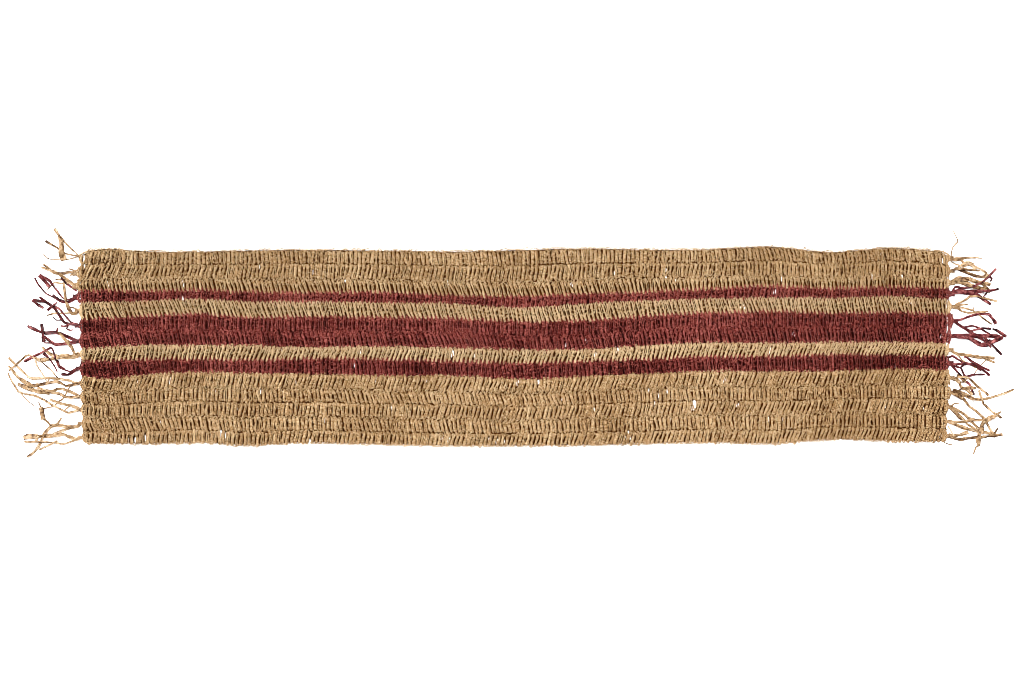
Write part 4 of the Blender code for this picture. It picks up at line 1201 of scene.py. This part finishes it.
def make_fringe(materials):
    """The knots and loose strips at both ends of each row, one piece for each, laid in the tables' order."""
    pieces, laid = [], np.full((1, 4), -1e4)
    for side, table in ((0, LEFT_WAYS), (1, RIGHT_WAYS)):
        for row, shapes in table.items():
            chance = np.random.default_rng(SEED + 100 * (side + 1) + row)
            red = row in RED_ROWS
            tone = (RED_TAIL_TONE if red else TAIL_TONES[side]) + chance.normal(0.0, 0.04)
            loose = []
            for shape in shapes:
                strip = LooseStrip(row, side, shape, chance)
                strip.climb_over(laid)
                laid = np.vstack((laid, strip.discs()))
                loose.append(strip)
            groups = [flat_strips(loose, chance, tone), loose_fibres(loose, chance, tone),
                      *knot_strips(row, side, chance, tone)]
            # Red ends have a second, darker fibre beside each strip.
            if red:
                groups.append(loose_fibres(loose, chance, DARK_FIBRE_TONE))
            name = "%s_%02d" % (("left", "right")[side], row)
            piece = new_piece("tails_" + name, groups, materials[red], "fringe_" + name, grain=LOOSE_GRAIN)
            pieces.append(piece)
    return pieces


def make_floor():
    """A plain white floor, far wider than the view, lit a little from below as a light table is."""
    mesh = bpy.data.meshes.new("floor")
    far = FLOOR_REACH
    corners = [(-far, -far, 0.0), (far, -far, 0.0), (far, far, 0.0), (-far, far, 0.0)]
    mesh.from_pydata(corners, [], [(0, 1, 2, 3)])
    material, _, shader = new_material("matt_white_paper", 0.9, 0.5)
    shader.inputs["Base Color"].default_value = linear("#F7F7F7")
    shader.inputs["Emission Color"].default_value = (1.0, 1.0, 1.0, 1.0)
    shader.inputs["Emission Strength"].default_value = FLOOR_GLOW
    mesh.materials.append(material)
    floor = placed("floor", mesh)
    return floor


def make_light():
    """Soft light from the upper left, as even as that of a wide far window, and an even pale room."""
    lamp = bpy.data.lights.new("window", "SUN")
    lamp.angle = math.radians(WINDOW_ANGLE)
    lamp.energy = WINDOW_ENERGY
    window = placed("window", lamp)
    window.location = WINDOW_PLACE
    window.rotation_mode = "QUATERNION"
    window.rotation_quaternion = window.location.to_track_quat("Z", "Y")
    world = bpy.data.worlds.new("room")
    world.use_nodes = True
    room = world.node_tree.nodes["Background"]
    room.inputs["Color"].default_value = (1.0, 1.0, 1.0, 1.0)
    room.inputs["Strength"].default_value = ROOM_LIGHT
    bpy.context.scene.world = world


def make_camera():
    """Straight above the rug. The lens is the sensor's width * the camera's height / VIEW_WIDTH."""
    lens = bpy.data.cameras.new("camera")
    lens.sensor_width = 36.0
    lens.lens = lens.sensor_width * CAMERA_PLACE[2] / VIEW_WIDTH
    camera = placed("camera", lens)
    camera.location = CAMERA_PLACE
    bpy.context.scene.camera = camera


def make_rug():
    """All pieces of the rug. Returns the inner layer, the rows and the fringe."""
    natural = raffia("natural_dried_raffia", "#3E210A", "#99764D", "#C2A984", 0.55, 0.22)
    red = raffia("red_dyed_raffia", "#0A0000", "#5A1B16", "#B0635A", 0.5, 0.18)
    # The loose ends are a little duller, weathered by handling.
    loose = (raffia("loose_natural_raffia", "#432812", "#9B7B57", "#C8B193", 0.55, 0.22),
             raffia("loose_red_raffia", "#1A0507", "#5B2123", "#A2625E", 0.5, 0.18))
    # Colours of the inner layer, far darker than the raffia: painted shade between the stitches.
    inner = (inner_layer_painted_shade("natural_raffia_inside_painted_shade", "#1C0D03", "#4A290E"),
             inner_layer_painted_shade("red_raffia_inside_painted_shade", "#0E0202", "#2A0805"))
    rows = []
    for number in range(1, ROWS + 1):
        is_red = number in RED_ROWS
        # Each row's raffia is painted paler up high and darker deep down: painted shade.
        piece = new_piece("row_%02d" % number, Row(number).strips(), red if is_red else natural, "cloth",
                          PAINTED_SHADE_BY_HEIGHT)
        rows.append(piece)
    ground = make_ground(inner)
    fringe = make_fringe(loose)
    return ground, rows, fringe


bpy.context.scene.view_settings.view_transform = "Standard"
# A narrow filter keeps the strips, which are two pixels wide, as sharp as the photo has them.
bpy.context.scene.cycles.filter_width = 0.7
make_camera()
make_light()
floor = make_floor()
ground, rows, fringe = make_rug()
